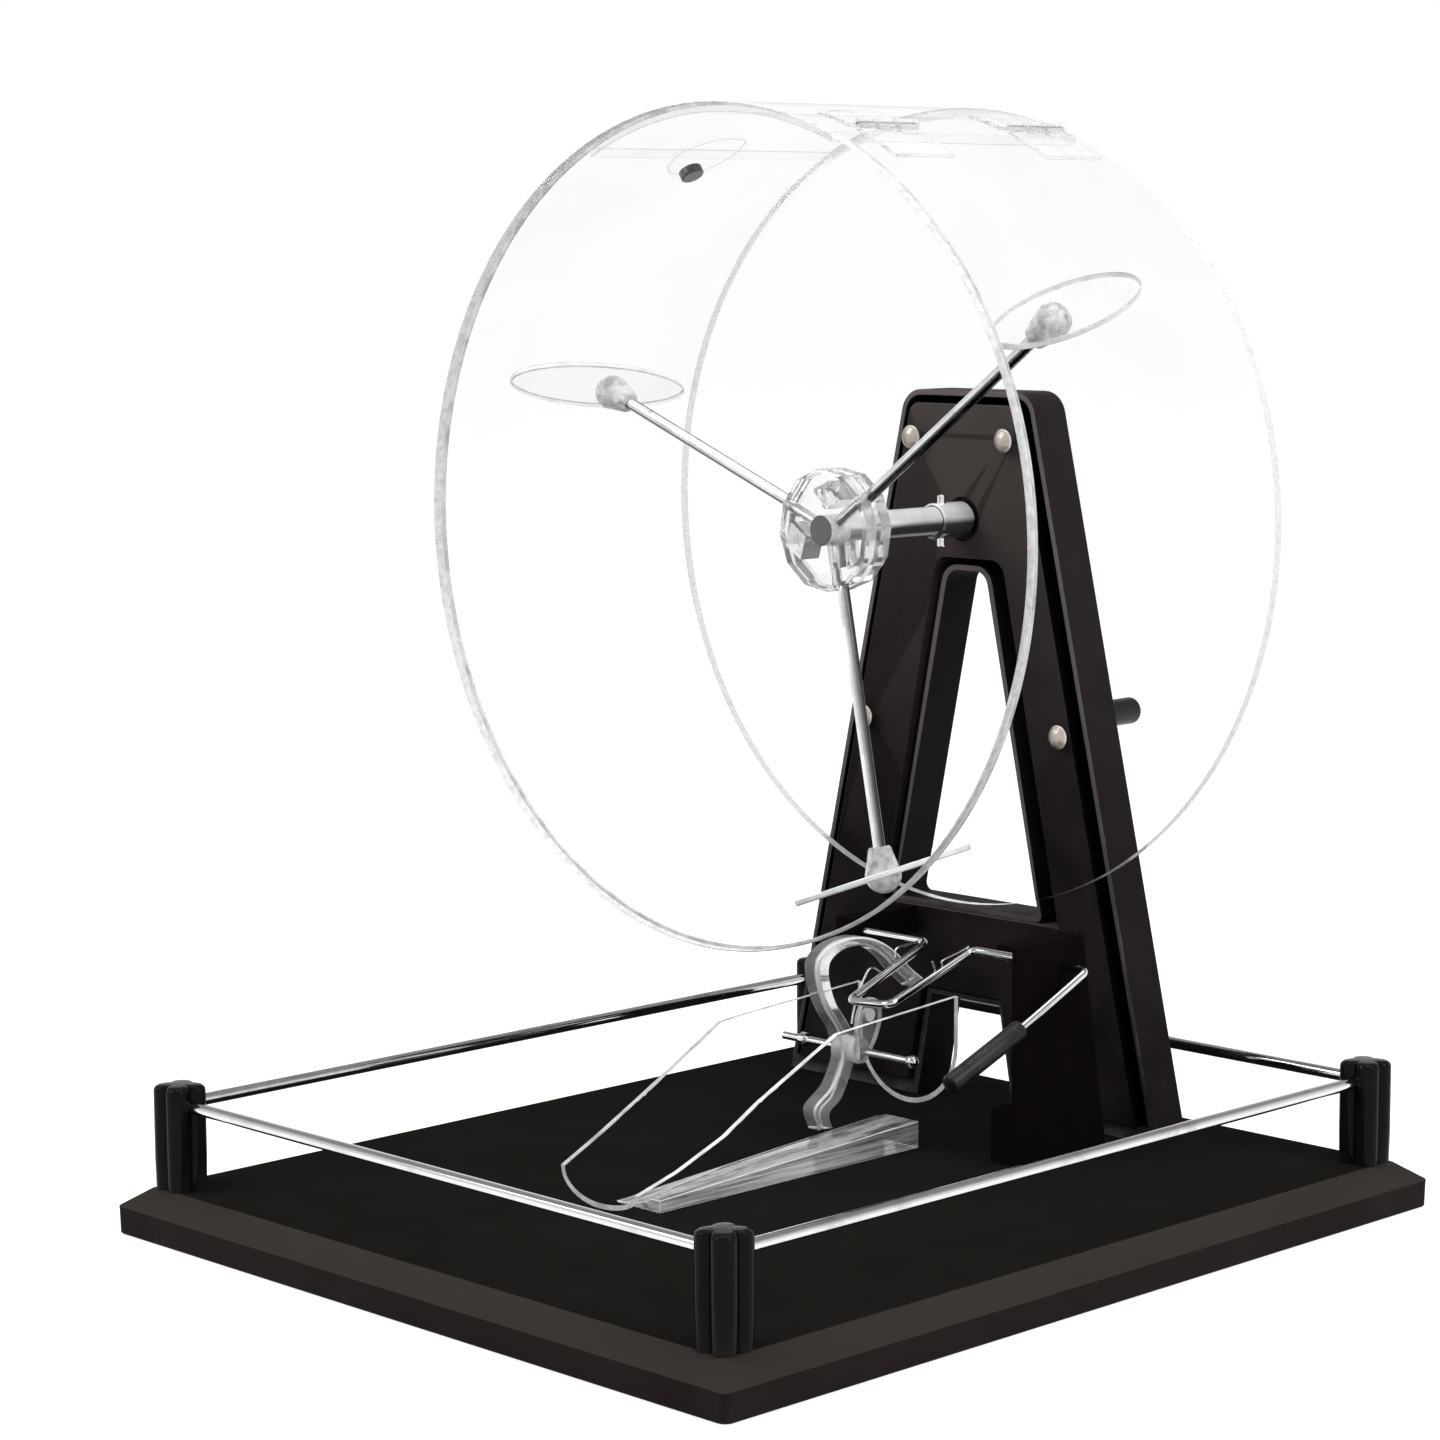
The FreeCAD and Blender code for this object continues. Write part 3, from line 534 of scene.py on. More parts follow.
class Finish:
    """The machine's finished materials, by the part they belong to."""

    def __init__(self) -> None:
        """Build every finish once."""
        self.build_blacks()
        self.build_acrylics()
        self.build_edges()
        self.build_steels()

    def build_blacks(self) -> None:
        """Black plastics, lacquer and rubber."""
        self.base_top = BlackMoulding("base_lacquer", (0.0105, 0.0098, 0.0085), (0.014, 0.013, 0.0115),
                                      (0.3, 0.42), specular=0.0, bump=0.01, wear=0.05, mottle=0.5).make()
        self.base_bevel = BlackMoulding("base_bevel", (0.036, 0.031, 0.027), (0.05, 0.044, 0.04),
                                        (0.4, 0.5), grain=1200.0, specular=0.02, wear=0.3).make()
        self.base_side = BlackMoulding("base_edge_band", (0.019, 0.0145, 0.0135), (0.04, 0.034, 0.033),
                                       (0.45, 0.6), grain=1200.0, specular=0.01, wear=0.2).make()
        # Painted shade: the stand's finish darkens towards the bottom.
        case = BlackMoulding("stand_brown_black", (0.024, 0.019, 0.019), (0.05, 0.042, 0.041), (0.5, 0.62),
                             painted_foot_shade=(0.0105, 0.0088, 0.0078), grain=1500.0, bump=0.1, specular=0.02,
                             wear=0.05, mottle=0.08)
        self.stand = case.make()
        # The panel is a lighter brown copy of the stand's finish: partly its own brown face, partly painted
        # light that makes up for the weak light on its front; it darkens towards its lower part as painted
        # shade.
        self.panel = replace(case, name="stand_panel_brown_brightened", colour=(0.1, 0.083, 0.079),
                             worn=(0.12, 0.1, 0.097), painted_shade_span=(0.12, 0.5)).make()
        # The window's sill is a lighter copy of the stand's finish: painted light on its upward face.
        self.sill = replace(case, name="stand_window_sill_lit", colour=(0.06, 0.053, 0.05),
                            worn=(0.08, 0.07, 0.067), painted_foot_shade=None, wear=0.1).make()
        self.bracket = replace(case, name="bracket_black", colour=(0.0062, 0.005, 0.0045),
                               worn=(0.01, 0.008, 0.0075), painted_foot_shade=None, specular=0.0, wear=0.15,
                               mottle=0.2).make()
        # Near black painted shade for the shell's pocket and the panel's sides, where the recess lies in
        # shade.
        self.recess_shade = BlackMoulding("stand_recess_painted_shade", (0.0022, 0.002, 0.002), grey(0.006), (0.8, 0.9),
                                    specular=0.0, wear=0.0).make()
        # Painted shade: the lip darkens towards the bottom as well.
        self.lip = BlackMoulding("stand_rim_lip", (0.135, 0.115, 0.12), (0.2, 0.18, 0.18), (0.4, 0.5),
                                 painted_foot_shade=(0.03, 0.025, 0.025), painted_shade_span=(0.05, 0.3), grain=1400.0,
                                 specular=0.1).make()
        self.post = BlackMoulding("post_gloss_black", grey(0.006), grey(0.05), (0.1, 0.18), grain=600.0,
                                  bump=0.03, specular=0.05, wear=0.15, mottle=0.03).make()
        self.rubber = BlackMoulding("grip_rubber", grey(0.011), grey(0.06), (0.3, 0.42), grain=1800.0,
                                    bump=0.1, specular=0.2, wear=0.3, mottle=0.03).make()
        self.magnet = BlackMoulding("magnet_dark", grey(0.035), grey(0.2), (0.3, 0.4)).make()
        self.dull = BlackMoulding("steel_end", grey(0.15), grey(0.24), (0.35, 0.5), specular=0.1,
                                  wear=0.2).make()

    def build_acrylics(self) -> None:
        """Faces of clear acrylic, from flat sheet to hazy mouldings."""
        self.sheet = ClearAcrylic("acrylic_sheet", ior=1.02, tint=1.0, straight=True).make()
        # The wall's outline of 0.82 is painted shade along its grazing edges.
        self.wall = ClearAcrylic("acrylic_wall", ior=1.0, tint=0.988, bump=0.004, outline=0.82).make()
        self.seam = ClearAcrylic("acrylic_seam", ior=1.0, tint=0.975, bump=0.004).make()
        self.trough = ClearAcrylic("acrylic_bent_sheet", ior=1.0, tint=0.985, bump=0.004).make()
        self.moulded = ClearAcrylic("acrylic_moulded", ior=1.3, shade=0.95, size=60.0, rough=(0.0, 0.03),
                                    clear=0.97, bump=0.05, specular=0.6).make()
        self.paddle = ClearAcrylic("acrylic_paddle", ior=1.03, tint=0.985, shade=0.96, size=40.0,
                                   rough=(0.0, 0.03), clear=0.96, bump=0.03).make()
        self.milky = ClearAcrylic("acrylic_milky", ior=1.08, tint=0.98, shade=0.72, size=70.0,
                                  rough=(0.02, 0.08), clear=0.25, bump=0.08).make()
        self.strip = ClearAcrylic("acrylic_strip", ior=1.08, tint=0.94, shade=0.6, size=90.0,
                                  rough=(0.01, 0.05), clear=0.8, bump=0.08).make()
        self.smoky = ClearAcrylic("acrylic_smoky", ior=1.06, tint=0.7, shade=0.6, size=90.0,
                                  rough=(0.02, 0.06), clear=0.78, bump=0.05).make()
        self.facet = ClearAcrylic("acrylic_facet", ior=1.3, tint=0.82, shade=0.7, size=80.0,
                                  rough=(0.01, 0.05), clear=0.85, bump=0.1, specular=0.5).make()
        self.hinge = ClearAcrylic("acrylic_hinge", ior=1.02, tint=0.985, shade=0.93, size=60.0,
                                  rough=(0.01, 0.05), clear=0.9, bump=0.05, specular=0.4).make()

    def build_edges(self) -> None:
        """Cut and glued acrylic edges, by name, pale tone and dark tone."""
        self.edge = CutAcrylicEdge("acrylic_cut_edge", 0.93, 0.66, scale=120.0, clear=0.35).make()
        self.far_edge = CutAcrylicEdge("acrylic_far_edge", 0.93, 0.76, scale=400.0, clear=0.4).make()
        self.door_end = CutAcrylicEdge("acrylic_door_end", 0.93, 0.86, scale=60.0, clear=0.6).make()
        self.front_edge = CutAcrylicEdge("acrylic_front_edge", 0.95, 0.72, scale=260.0, clear=0.2).make()
        self.joint = CutAcrylicEdge("acrylic_glue_joint", 0.9, 0.6, scale=90.0, clear=0.3).make()
        self.bore = CutAcrylicEdge("acrylic_bore", 0.98, 0.5, (1.0, 0.5, 1.0), 140.0, clear=0.0).make()
        self.boss = CutAcrylicEdge("acrylic_boss", 0.97, 0.4, scale=130.0, clear=0.45, rough=0.05).make()
        self.trough_edge = CutAcrylicEdge("acrylic_trough_edge", 0.97, 0.66, scale=120.0, clear=0.05).make()
        self.rim_line = CutAcrylicEdge("acrylic_rim_line", 0.8, 0.5, scale=90.0, clear=0.3).make()
        self.thin_edge = CutAcrylicEdge("acrylic_thin_edge", 0.97, 0.78, clear=0.08).make()
        self.layered = CutAcrylicEdge("acrylic_layered", 0.8, 0.13, (1.0, 0.08, 3.0), 150.0, clear=0.6,
                                      rough=0.02).make()

    def build_steels(self) -> None:
        """Steels, and the pearl of the domed screws."""
        # The drawn steel, the satin shaft steel and the pearl carry painted shade on the side away from
        # light_side: the shaft is light on top and dark underneath, the screws dark on their left.
        self.steel = DrawnSteel("steel_drawn", grey(0.66), under=0.1).make()
        self.satin = DrawnSteel("steel_satin", grey(0.92), (0.12, 0.2), metal=0.25, under=0.06,
                                light_side=(0.1, 0.0, 0.99)).make()
        self.bright = DrawnSteel("steel_bright", grey(0.68), (0.08, 0.16)).make()
        self.pearl = DrawnSteel("screw_pearl", (0.62, 0.54, 0.47), (0.16, 0.24), metal=0.2, under=0.25,
                                light_side=(0.75, -0.3, 0.3)).make()


# ---------------------------------------------------------------- mesh tools


def make_piece(name: str, points: Array, faces: Iterable[Sequence[int]], materials: Sequence[Material],
               slots: Array | None = None, sharp: float | None = 30.0) -> Piece:
    """Make a mesh object at the origin from points in millimetres.

    Args:
        name: the piece's name.
        points: (n, 3) array in millimetres.
        faces: vertex indices of each face.
        materials: the piece's materials.
        slots: material index of each face, or None for the first material.
        sharp: angle in degrees over which an edge stays sharp, or None for all smooth.

    Returns:
        The linked object.
    """
    mesh = bpy.data.meshes.new(name)
    mesh.from_pydata((np.asarray(points, float).reshape(-1, 3) * MM).tolist(), [], [list(f) for f in faces])
    for material in materials:
        mesh.materials.append(material)
    mesh.polygons.foreach_set("use_smooth", np.ones(len(mesh.polygons), bool))
    if slots is not None:
        mesh.polygons.foreach_set("material_index", np.asarray(slots, np.int32))
    mesh.validate()
    clean(mesh, sharp)
    piece = bpy.data.objects.new(name, mesh)
    bpy.context.scene.collection.objects.link(piece)
    return piece


def clean(mesh: bpy.types.Mesh, sharp: float | None) -> None:
    """Merge doubles, turn the faces outwards and mark sharp edges by their angle.

    Args:
        mesh: the mesh to clean.
        sharp: angle in degrees over which an edge is sharp, or None.
    """
    work = bmesh.new()
    work.from_mesh(mesh)
    bmesh.ops.remove_doubles(work, verts=work.verts, dist=1e-6)
    bmesh.ops.recalc_face_normals(work, faces=work.faces)
    work.to_mesh(mesh)
    work.free()
    if sharp is not None:
        mesh.set_sharp_from_angle(angle=math.radians(sharp))
    mesh.update()


def grid_faces(rows: int, columns: int, close_rows: bool = False, close_columns: bool = True) -> Array:
    """Quads over a grid of points stored row by row.

    Args:
        rows: number of rows.
        columns: number of points in a row.
        close_rows: join the last row to the first.
        close_columns: join the last point of a row to its first.

    Returns:
        (m, 4) array of vertex indices.
    """
    r = np.arange(rows if close_rows else rows - 1)
    c = np.arange(columns if close_columns else columns - 1)
    i, j = np.meshgrid(r, c, indexing="ij")
    a = i * columns + j
    b = i * columns + (j + 1) % columns
    d = ((i + 1) % rows) * columns + j
    e = ((i + 1) % rows) * columns + (j + 1) % columns
    return np.stack([a, b, e, d], axis=-1).reshape(-1, 4)


def ring_stack(name: str, rings: Array, materials: Sequence[Material], slots: Sequence[int] | None = None,
               closed: bool = False, sharp: float | None = 30.0) -> Piece:
    """Close a stack of rings into a solid skin, capped at both ends.

    Args:
        name: the piece's name.
        rings: (rows, columns, 3) array in millimetres, each row one closed ring.
        materials: the piece's materials.
        slots: material index of each band between rings, then of the first and last cap.
        closed: join the last ring to the first instead of capping.
        sharp: angle in degrees over which an edge stays sharp.

    Returns:
        The linked object.
    """
    rows, columns = rings.shape[:2]
    faces = [list(f) for f in grid_faces(rows, columns, close_rows=closed)]
    bands = rows if closed else rows - 1
    values = [0] * (bands + 2) if slots is None else list(slots)
    index = list(np.repeat(values[:bands], columns))
    if not closed:
        faces.append(list(range(columns))[::-1])
        faces.append(list(range((rows - 1) * columns, rows * columns)))
        index += values[-2:]
    return make_piece(name, rings.reshape(-1, 3), faces, materials, np.array(index), sharp)


def circle(radius: float, count: int, start: float = 0.0, sweep: float = 360.0, close: bool = False) -> Array:
    """Points on a circle: radius times cosine and sine of evenly spaced angles.

    Args:
        radius: the circle's radius.
        count: number of points.
        start: first angle in degrees.
        sweep: angle covered in degrees.
        close: include the last angle.

    Returns:
        (count, 2) array.
    """
    t = np.radians(start + sweep * np.linspace(0.0, 1.0, count, endpoint=close))
    return radius * np.stack([np.cos(t), np.sin(t)], axis=-1)


def unit(vector: Sequence[float]) -> Array:
    """The vector divided by its length."""
    v = np.asarray(vector, float)
    return v / np.linalg.norm(v)


def side_axes(direction: Array) -> tuple[Array, Array]:
    """Two unit vectors square to a direction and to each other.

    Args:
        direction: unit vector.

    Returns:
        The two side vectors.
    """
    helper = np.array([0.0, 0.0, 1.0]) if abs(direction[2]) < 0.8 else np.array([1.0, 0.0, 0.0])
    first = unit(np.cross(helper, direction))
    return first, np.cross(direction, first)


def turned(name: str, start: Sequence[float], end: Sequence[float], profile: Sequence[Sequence[float]],
           material: Material, count: int = 48, slots: Sequence[int] | None = None,
           extra: Sequence[Material] = (), closed: bool = False) -> Piece:
    """Turned piece: a profile of (distance, radius) spun about the line from start to end.

    Args:
        name: the piece's name.
        start: a point on the axis, in millimetres.
        end: a second point on the axis, which gives the direction.
        profile: (distance from start, radius) pairs.
        material: its material.
        count: points round the axis.
        slots: material index of each band, then of the two caps.
        extra: more materials.
        closed: join the profile's last point to its first, for a hollow ring.

    Returns:
        The linked object.
    """
    along = unit(np.subtract(end, start))
    u, v = side_axes(along)
    ring = circle(1.0, count)
    spin = ring[:, :1] * u + ring[:, 1:] * v
    steps = np.asarray(profile, float)
    rings = np.asarray(start, float) + steps[:, None, :1] * along + steps[:, None, 1:] * spin[None]
    return ring_stack(name, rings, [material, *extra], slots, closed)


def bar(length: float, radius: float, ease: float) -> list[Span]:
    """Profile of a solid bar with both ends chamfered by ease."""
    return [(0.0, radius - ease), (ease, radius), (length - ease, radius), (length, radius - ease)]


def sleeve(length: float, bore: float, radius: float, ease: float) -> list[Span]:
    """Profile of a bored bar with both outer rims chamfered by ease."""
    return [(0.0, bore), *bar(length, radius, ease), (length, bore)]


def rounded_line(points: Sequence[Sequence[float]], radius: float, steps: int = 8) -> Array:
    """Polyline with each inner corner replaced by a quadratic curve that starts a radius away.

    Args:
        points: corner points.
        radius: how far from the corner the curve starts, at most 0.45 of a run.
        steps: points on each curve.

    Returns:
        (n, k) array of points.
    """
    p = np.asarray(points, float)
    out = [p[:1]]
    t = np.linspace(0.0, 1.0, steps)[:, None]
    for before, corner, after in zip(p[:-2], p[1:-1], p[2:]):
        a, b = before - corner, after - corner
        la, lb = np.linalg.norm(a), np.linalg.norm(b)
        s = corner + a / la * min(radius, 0.45 * la)
        e = corner + b / lb * min(radius, 0.45 * lb)
        out.append((1 - t) ** 2 * s + 2 * t * (1 - t) * corner + t ** 2 * e)
    out.append(p[-1:])
    return np.concatenate(out)


def smooth_line(points: Sequence[Sequence[float]], steps: int, closed: bool = False) -> Array:
    """Catmull-Rom curve through points: each span is a cubic with slopes from its neighbours.

    Args:
        points: the points it passes through.
        steps: samples in each span.
        closed: join the last point to the first.

    Returns:
        (n, k) array of points.
    """
    p = np.asarray(points, float)
    if closed:
        p = np.concatenate([p[-1:], p, p[:2]])
    else:
        p = np.concatenate([2 * p[:1] - p[1:2], p, 2 * p[-1:] - p[-2:-1]])
    t = np.linspace(0.0, 1.0, steps, endpoint=False)[None, :, None]
    a, b, c, d = p[:-3, None], p[1:-2, None], p[2:-1, None], p[3:, None]
    square, cube = 2 * a - 5 * b + 4 * c - d, 3 * b - a - 3 * c + d
    curve = 0.5 * (2 * b + (c - a) * t + square * t ** 2 + cube * t ** 3)
    curve = curve.reshape(-1, p.shape[1])
    return curve if closed else np.concatenate([curve, p[-2:-1]])


def wire(name: str, line: Array, radius: float, material: Material, count: int = 20) -> Piece:
    """Round wire: a circle carried along a line, kept square to it, with eased ends.

    Args:
        name: the piece's name.
        line: (n, 3) array in millimetres.
        radius: the wire's radius.
        material: its material.
        count: points round the wire.

    Returns:
        The linked object.
    """
    tangent = np.gradient(line, axis=0)
    tangent /= np.linalg.norm(tangent, axis=1, keepdims=True)
    spread = np.abs(tangent).mean(0)
    helper = np.eye(3)[int(np.argmin(spread))] + np.array([0.013, 0.007, 0.017])
    side = np.cross(tangent, helper)
    side /= np.linalg.norm(side, axis=1, keepdims=True)
    other = np.cross(tangent, side)
    ring = circle(radius, count)
    rings = line[:, None] + ring[None, :, :1] * side[:, None] + ring[None, :, 1:] * other[:, None]
    ease = radius * 0.25
    first = line[0] + (rings[0] - line[0]) * 0.75
    last = line[-1] + (rings[-1] - line[-1]) * 0.75
    rings[0] += tangent[0] * ease
    rings[-1] -= tangent[-1] * ease
    return ring_stack(name, np.concatenate([first[None], rings, last[None]]), [material], sharp=40.0)


def slab(name: str, outline: Array, low: float, high: float, axis: Axis, bevel: float,
         materials: Sequence[Material], bands: Sequence[int] = (0, 0, 0)) -> Piece:
    """Flat plate from a closed outline, with its edges eased by a small bevel.

    The outline's corner normals are the mean of its two side normals; the bevel moves each
    point inwards along them.

    Args:
        name: the piece's name.
        outline: (n, 2) closed outline in the plane square to axis, in millimetres.
        low: position of one face along the axis.
        high: position of the other face.
        axis: the axis the plate is thick along.
        bevel: size of the bevel in millimetres.
        materials: face material, then any edge materials.
        bands: material index of the first bevel, the edge and the second bevel.

    Returns:
        The linked object.
    """
    ahead = np.roll(outline, -1, axis=0) - outline
    back = outline - np.roll(outline, 1, axis=0)
    ahead /= np.linalg.norm(ahead, axis=1, keepdims=True)
    back /= np.linalg.norm(back, axis=1, keepdims=True)
    normal = np.stack([ahead[:, 1] + back[:, 1], -(ahead[:, 0] + back[:, 0])], axis=-1)
    normal /= np.maximum(np.linalg.norm(normal, axis=1, keepdims=True), 1e-9)
    area = np.sum(outline[:, 0] * np.roll(outline[:, 1], -1) - np.roll(outline[:, 0], -1) * outline[:, 1])
    inner = outline - normal * bevel * math.copysign(1.0, area)
    levels = ((inner, low), (outline, low + bevel), (outline, high - bevel), (inner, high))
    rings = np.stack([lift(flat, level, axis) for flat, level in levels])
    return ring_stack(name, rings, materials, [*bands, 0, 0])


def lift(flat: Array, level: float, axis: Axis) -> Array:
    """Put flat points into space, with a constant coordinate along the axis.

    Args:
        flat: (n, 2) points, in the order of the two other axes.
        level: the coordinate along the axis.
        axis: the axis that stays constant.

    Returns:
        (n, 3) array.
    """
    return np.insert(flat, axis.value, level, axis=1)


def dressed_copy(node: str, name: str, materials: Sequence[Material],
                 choose: Callable[[Array, Array], Array] | None = None, bevel: float = 0.0,
                 edge_slot: int = -1) -> Piece:
    """Copy of a CAD node with merged points, a finish for each face and eased edges.

    Args:
        node: the CAD node.
        name: the new piece's name.
        materials: the piece's materials.
        choose: gives each face's material index from face centres (mm) and normals.
        bevel: width of the eased edge in millimetres, or 0 for none.
        edge_slot: material index of the eased edges, or -1 for that of the faces beside them.

    Returns:
        The linked object.
    """
    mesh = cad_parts[node].data.copy()
    mesh.name = name
    mesh.materials.clear()
    for material in materials:
        mesh.materials.append(material)
    work = bmesh.new()
    work.from_mesh(mesh)
    bmesh.ops.remove_doubles(work, verts=work.verts, dist=2e-6)
    if bevel:
        bmesh.ops.dissolve_limit(work, angle_limit=math.radians(0.5), verts=work.verts, edges=work.edges)
    work.to_mesh(mesh)
    work.free()
    count = len(mesh.polygons)
    index = np.zeros(count, np.int32)
    if choose is not None:
        centre, normal = np.zeros(count * 3), np.zeros(count * 3)
        mesh.polygons.foreach_get("center", centre)
        mesh.polygons.foreach_get("normal", normal)
        index = np.asarray(choose(centre.reshape(-1, 3) / MM, normal.reshape(-1, 3)), np.int32)
    mesh.polygons.foreach_set("material_index", index)
    mesh.polygons.foreach_set("use_smooth", np.ones(count, bool))
    mesh.set_sharp_from_angle(angle=math.radians(25))
    piece = bpy.data.objects.new(name, mesh)
    bpy.context.scene.collection.objects.link(piece)
    if bevel:
        modifier = piece.modifiers.new("eased_edges", "BEVEL")
        modifier.width = bevel * MM
        modifier.segments = 2
        modifier.limit_method = "ANGLE"
        modifier.angle_limit = math.radians(40)
        modifier.material = edge_slot
    return piece


def draw_in(piece: Piece, gap: float = 0.05) -> Piece:
    """Shrink a clear piece about its own middle, so that it does not share a face with what it touches.

    Args:
        piece: the piece.
        gap: how far each side of its box moves in, in millimetres.

    Returns:
        The piece.
    """
    points = np.zeros(len(piece.data.vertices) * 3)
    piece.data.vertices.foreach_get("co", points)
    points = points.reshape(-1, 3)
    low, high = points.min(0), points.max(0)
    middle = (low + high) / 2
    points = middle + (points - middle) * (1.0 - 2.0 * gap * MM / (high - low))
    piece.data.vertices.foreach_set("co", points.ravel())
    piece.data.update()
    return piece


def pass_light(piece: Piece) -> Piece:
    """Let a clear sheet cast no shadow, so that what stands behind several of them stays lit.

    Args:
        piece: the sheet.

    Returns:
        The piece.
    """
    piece.visible_shadow = False
    piece.visible_diffuse = False
    return piece


def fit(piece: Piece, body: str, slot: str, *nodes: str) -> Piece:
    """Let a piece ride on a body and stand for CAD nodes.

    Args:
        piece: the new piece.
        body: the CAD body it moves with.
        slot: the record's material slot; not used.
        nodes: CAD nodes it replaces.

    Returns:
        The piece.
    """
    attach(piece, body)
    if nodes:
        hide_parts(*nodes)
    LOG.info("piece %s on %s for %s", piece.name, body, ", ".join(nodes) or "detail")
    return piece


# ---------------------------------------------------------------- base


@dataclass
class RailedBase:
    """Bevelled base board with four lobed corner posts and a low steel rail."""

    finish: Finish
    half_x: float = 206.0
    half_y: float = 238.0
    edge: float = 13.0
    bevel: float = 13.0
    corner: float = 5.0
    post_x: float = 183.5
    post_y: float = 216.0
    post_h: float = 50.0
    lobe_r: float = 5.5
    lobe_off: float = 4.8
    dome: Outline = ((0.0, 0.97), (0.3, 1.0), (0.94, 1.0), (0.96, 0.98), (0.975, 0.94), (0.99, 0.85),
                     (0.997, 0.7), (1.0, 0.45))
    rail_r: float = 3.0
    rail_z: float = 62.0
    rail_gap: float = 5.0

    def board_ring(self, inset: float, z: float, corner: float) -> Array:
        """Rectangle with round corners, moved inwards by an inset.

        Args:
            inset: distance in from the board's outline.
            z: the ring's height.
            corner: radius of the corners.

        Returns:
            (n, 3) ring.
        """
        x, y = self.half_x - inset - corner, self.half_y - inset - corner
        middles = ((x, y), (-x, y), (-x, -y), (x, -y))
        corners = [circle(corner, 7, 90.0 * k, 90.0, close=True) + middle for k, middle in enumerate(middles)]
        return lift(np.concatenate(corners), z, Axis.Z)

    def board(self) -> None:
        """Board: stacked rings from the underside up the band and over the bevel to the top."""
        top, edge, inset, r = PLACE.base_top, self.edge, self.bevel, self.corner
        steps = ((0.6, 0.0, r - 0.6), (0.0, 0.6, r), (0.0, edge - 0.8, r - 1.0), (0.15, edge - 0.15, r - 2.0),
                 (0.8, edge + 0.45, r - 3.0), (inset - 0.5, top - 0.25, 0.3), (inset + 0.2, top, 0.3))
        rings = np.stack([self.board_ring(*step) for step in steps])
        piece = ring_stack("base_board_lacquered", rings,
                           [self.finish.base_side, self.finish.base_bevel, self.finish.base_top],
                           [0, 0, 0, 1, 1, 1, 0, 2], sharp=20.0)
        fit(piece, "frame", "base_black", "base_board")

    def posts(self) -> None:
        """Posts: radius is the farthest of four circles along each angle, shrunk over a soft dome."""
        t = np.linspace(0.0, 2 * math.pi, 160, endpoint=False)
        centre = self.lobe_off * math.sqrt(2)
        angle = np.abs(t % (math.pi / 2) - math.pi / 4)
        chord = np.sqrt(np.maximum(self.lobe_r ** 2 - (centre * np.sin(angle)) ** 2, 0.0))
        reach = centre * np.cos(angle) + chord
        levels = np.array(self.dome)
        z = PLACE.base_top + levels[:, :1] * self.post_h + 0 * t
        radius = levels[:, 1:] * reach
        for name, sx, sy in (("front_left", -1, -1), ("front_right", 1, -1), ("rear_left", -1, 1),
                             ("rear_right", 1, 1)):
            x = sx * self.post_x + radius * np.cos(t)
            y = sy * self.post_y + radius * np.sin(t)
            rings = np.stack([x, y, z], axis=-1)
            piece = ring_stack(f"post_{name}_lobed", rings, [self.finish.post], sharp=60.0)
            fit(piece, "frame", "post_black", f"post_{name}")

    def rails(self) -> None:
        """Rails: round bars between the posts' notches."""
        x, y, z, gap = self.post_x, self.post_y, self.rail_z, self.rail_gap
        for name, start, end in (("front", (gap - x, -y, z), (x - gap, -y, z)),
                                 ("rear", (gap - x, y, z), (x - gap, y, z)),
                                 ("left", (-x, gap - y, z), (-x, y - gap, z)),
                                 ("right", (x, gap - y, z), (x, y - gap, z))):
            line = np.linspace(start, end, 12)
            fit(wire(f"rail_{name}_bar", line, self.rail_r, self.finish.bright, 32), "frame", "rail_steel",
                f"rail_{name}")

    def build(self) -> None:
        """Build the whole base."""
        self.board()
        self.posts()
        self.rails()


# ---------------------------------------------------------------- stand


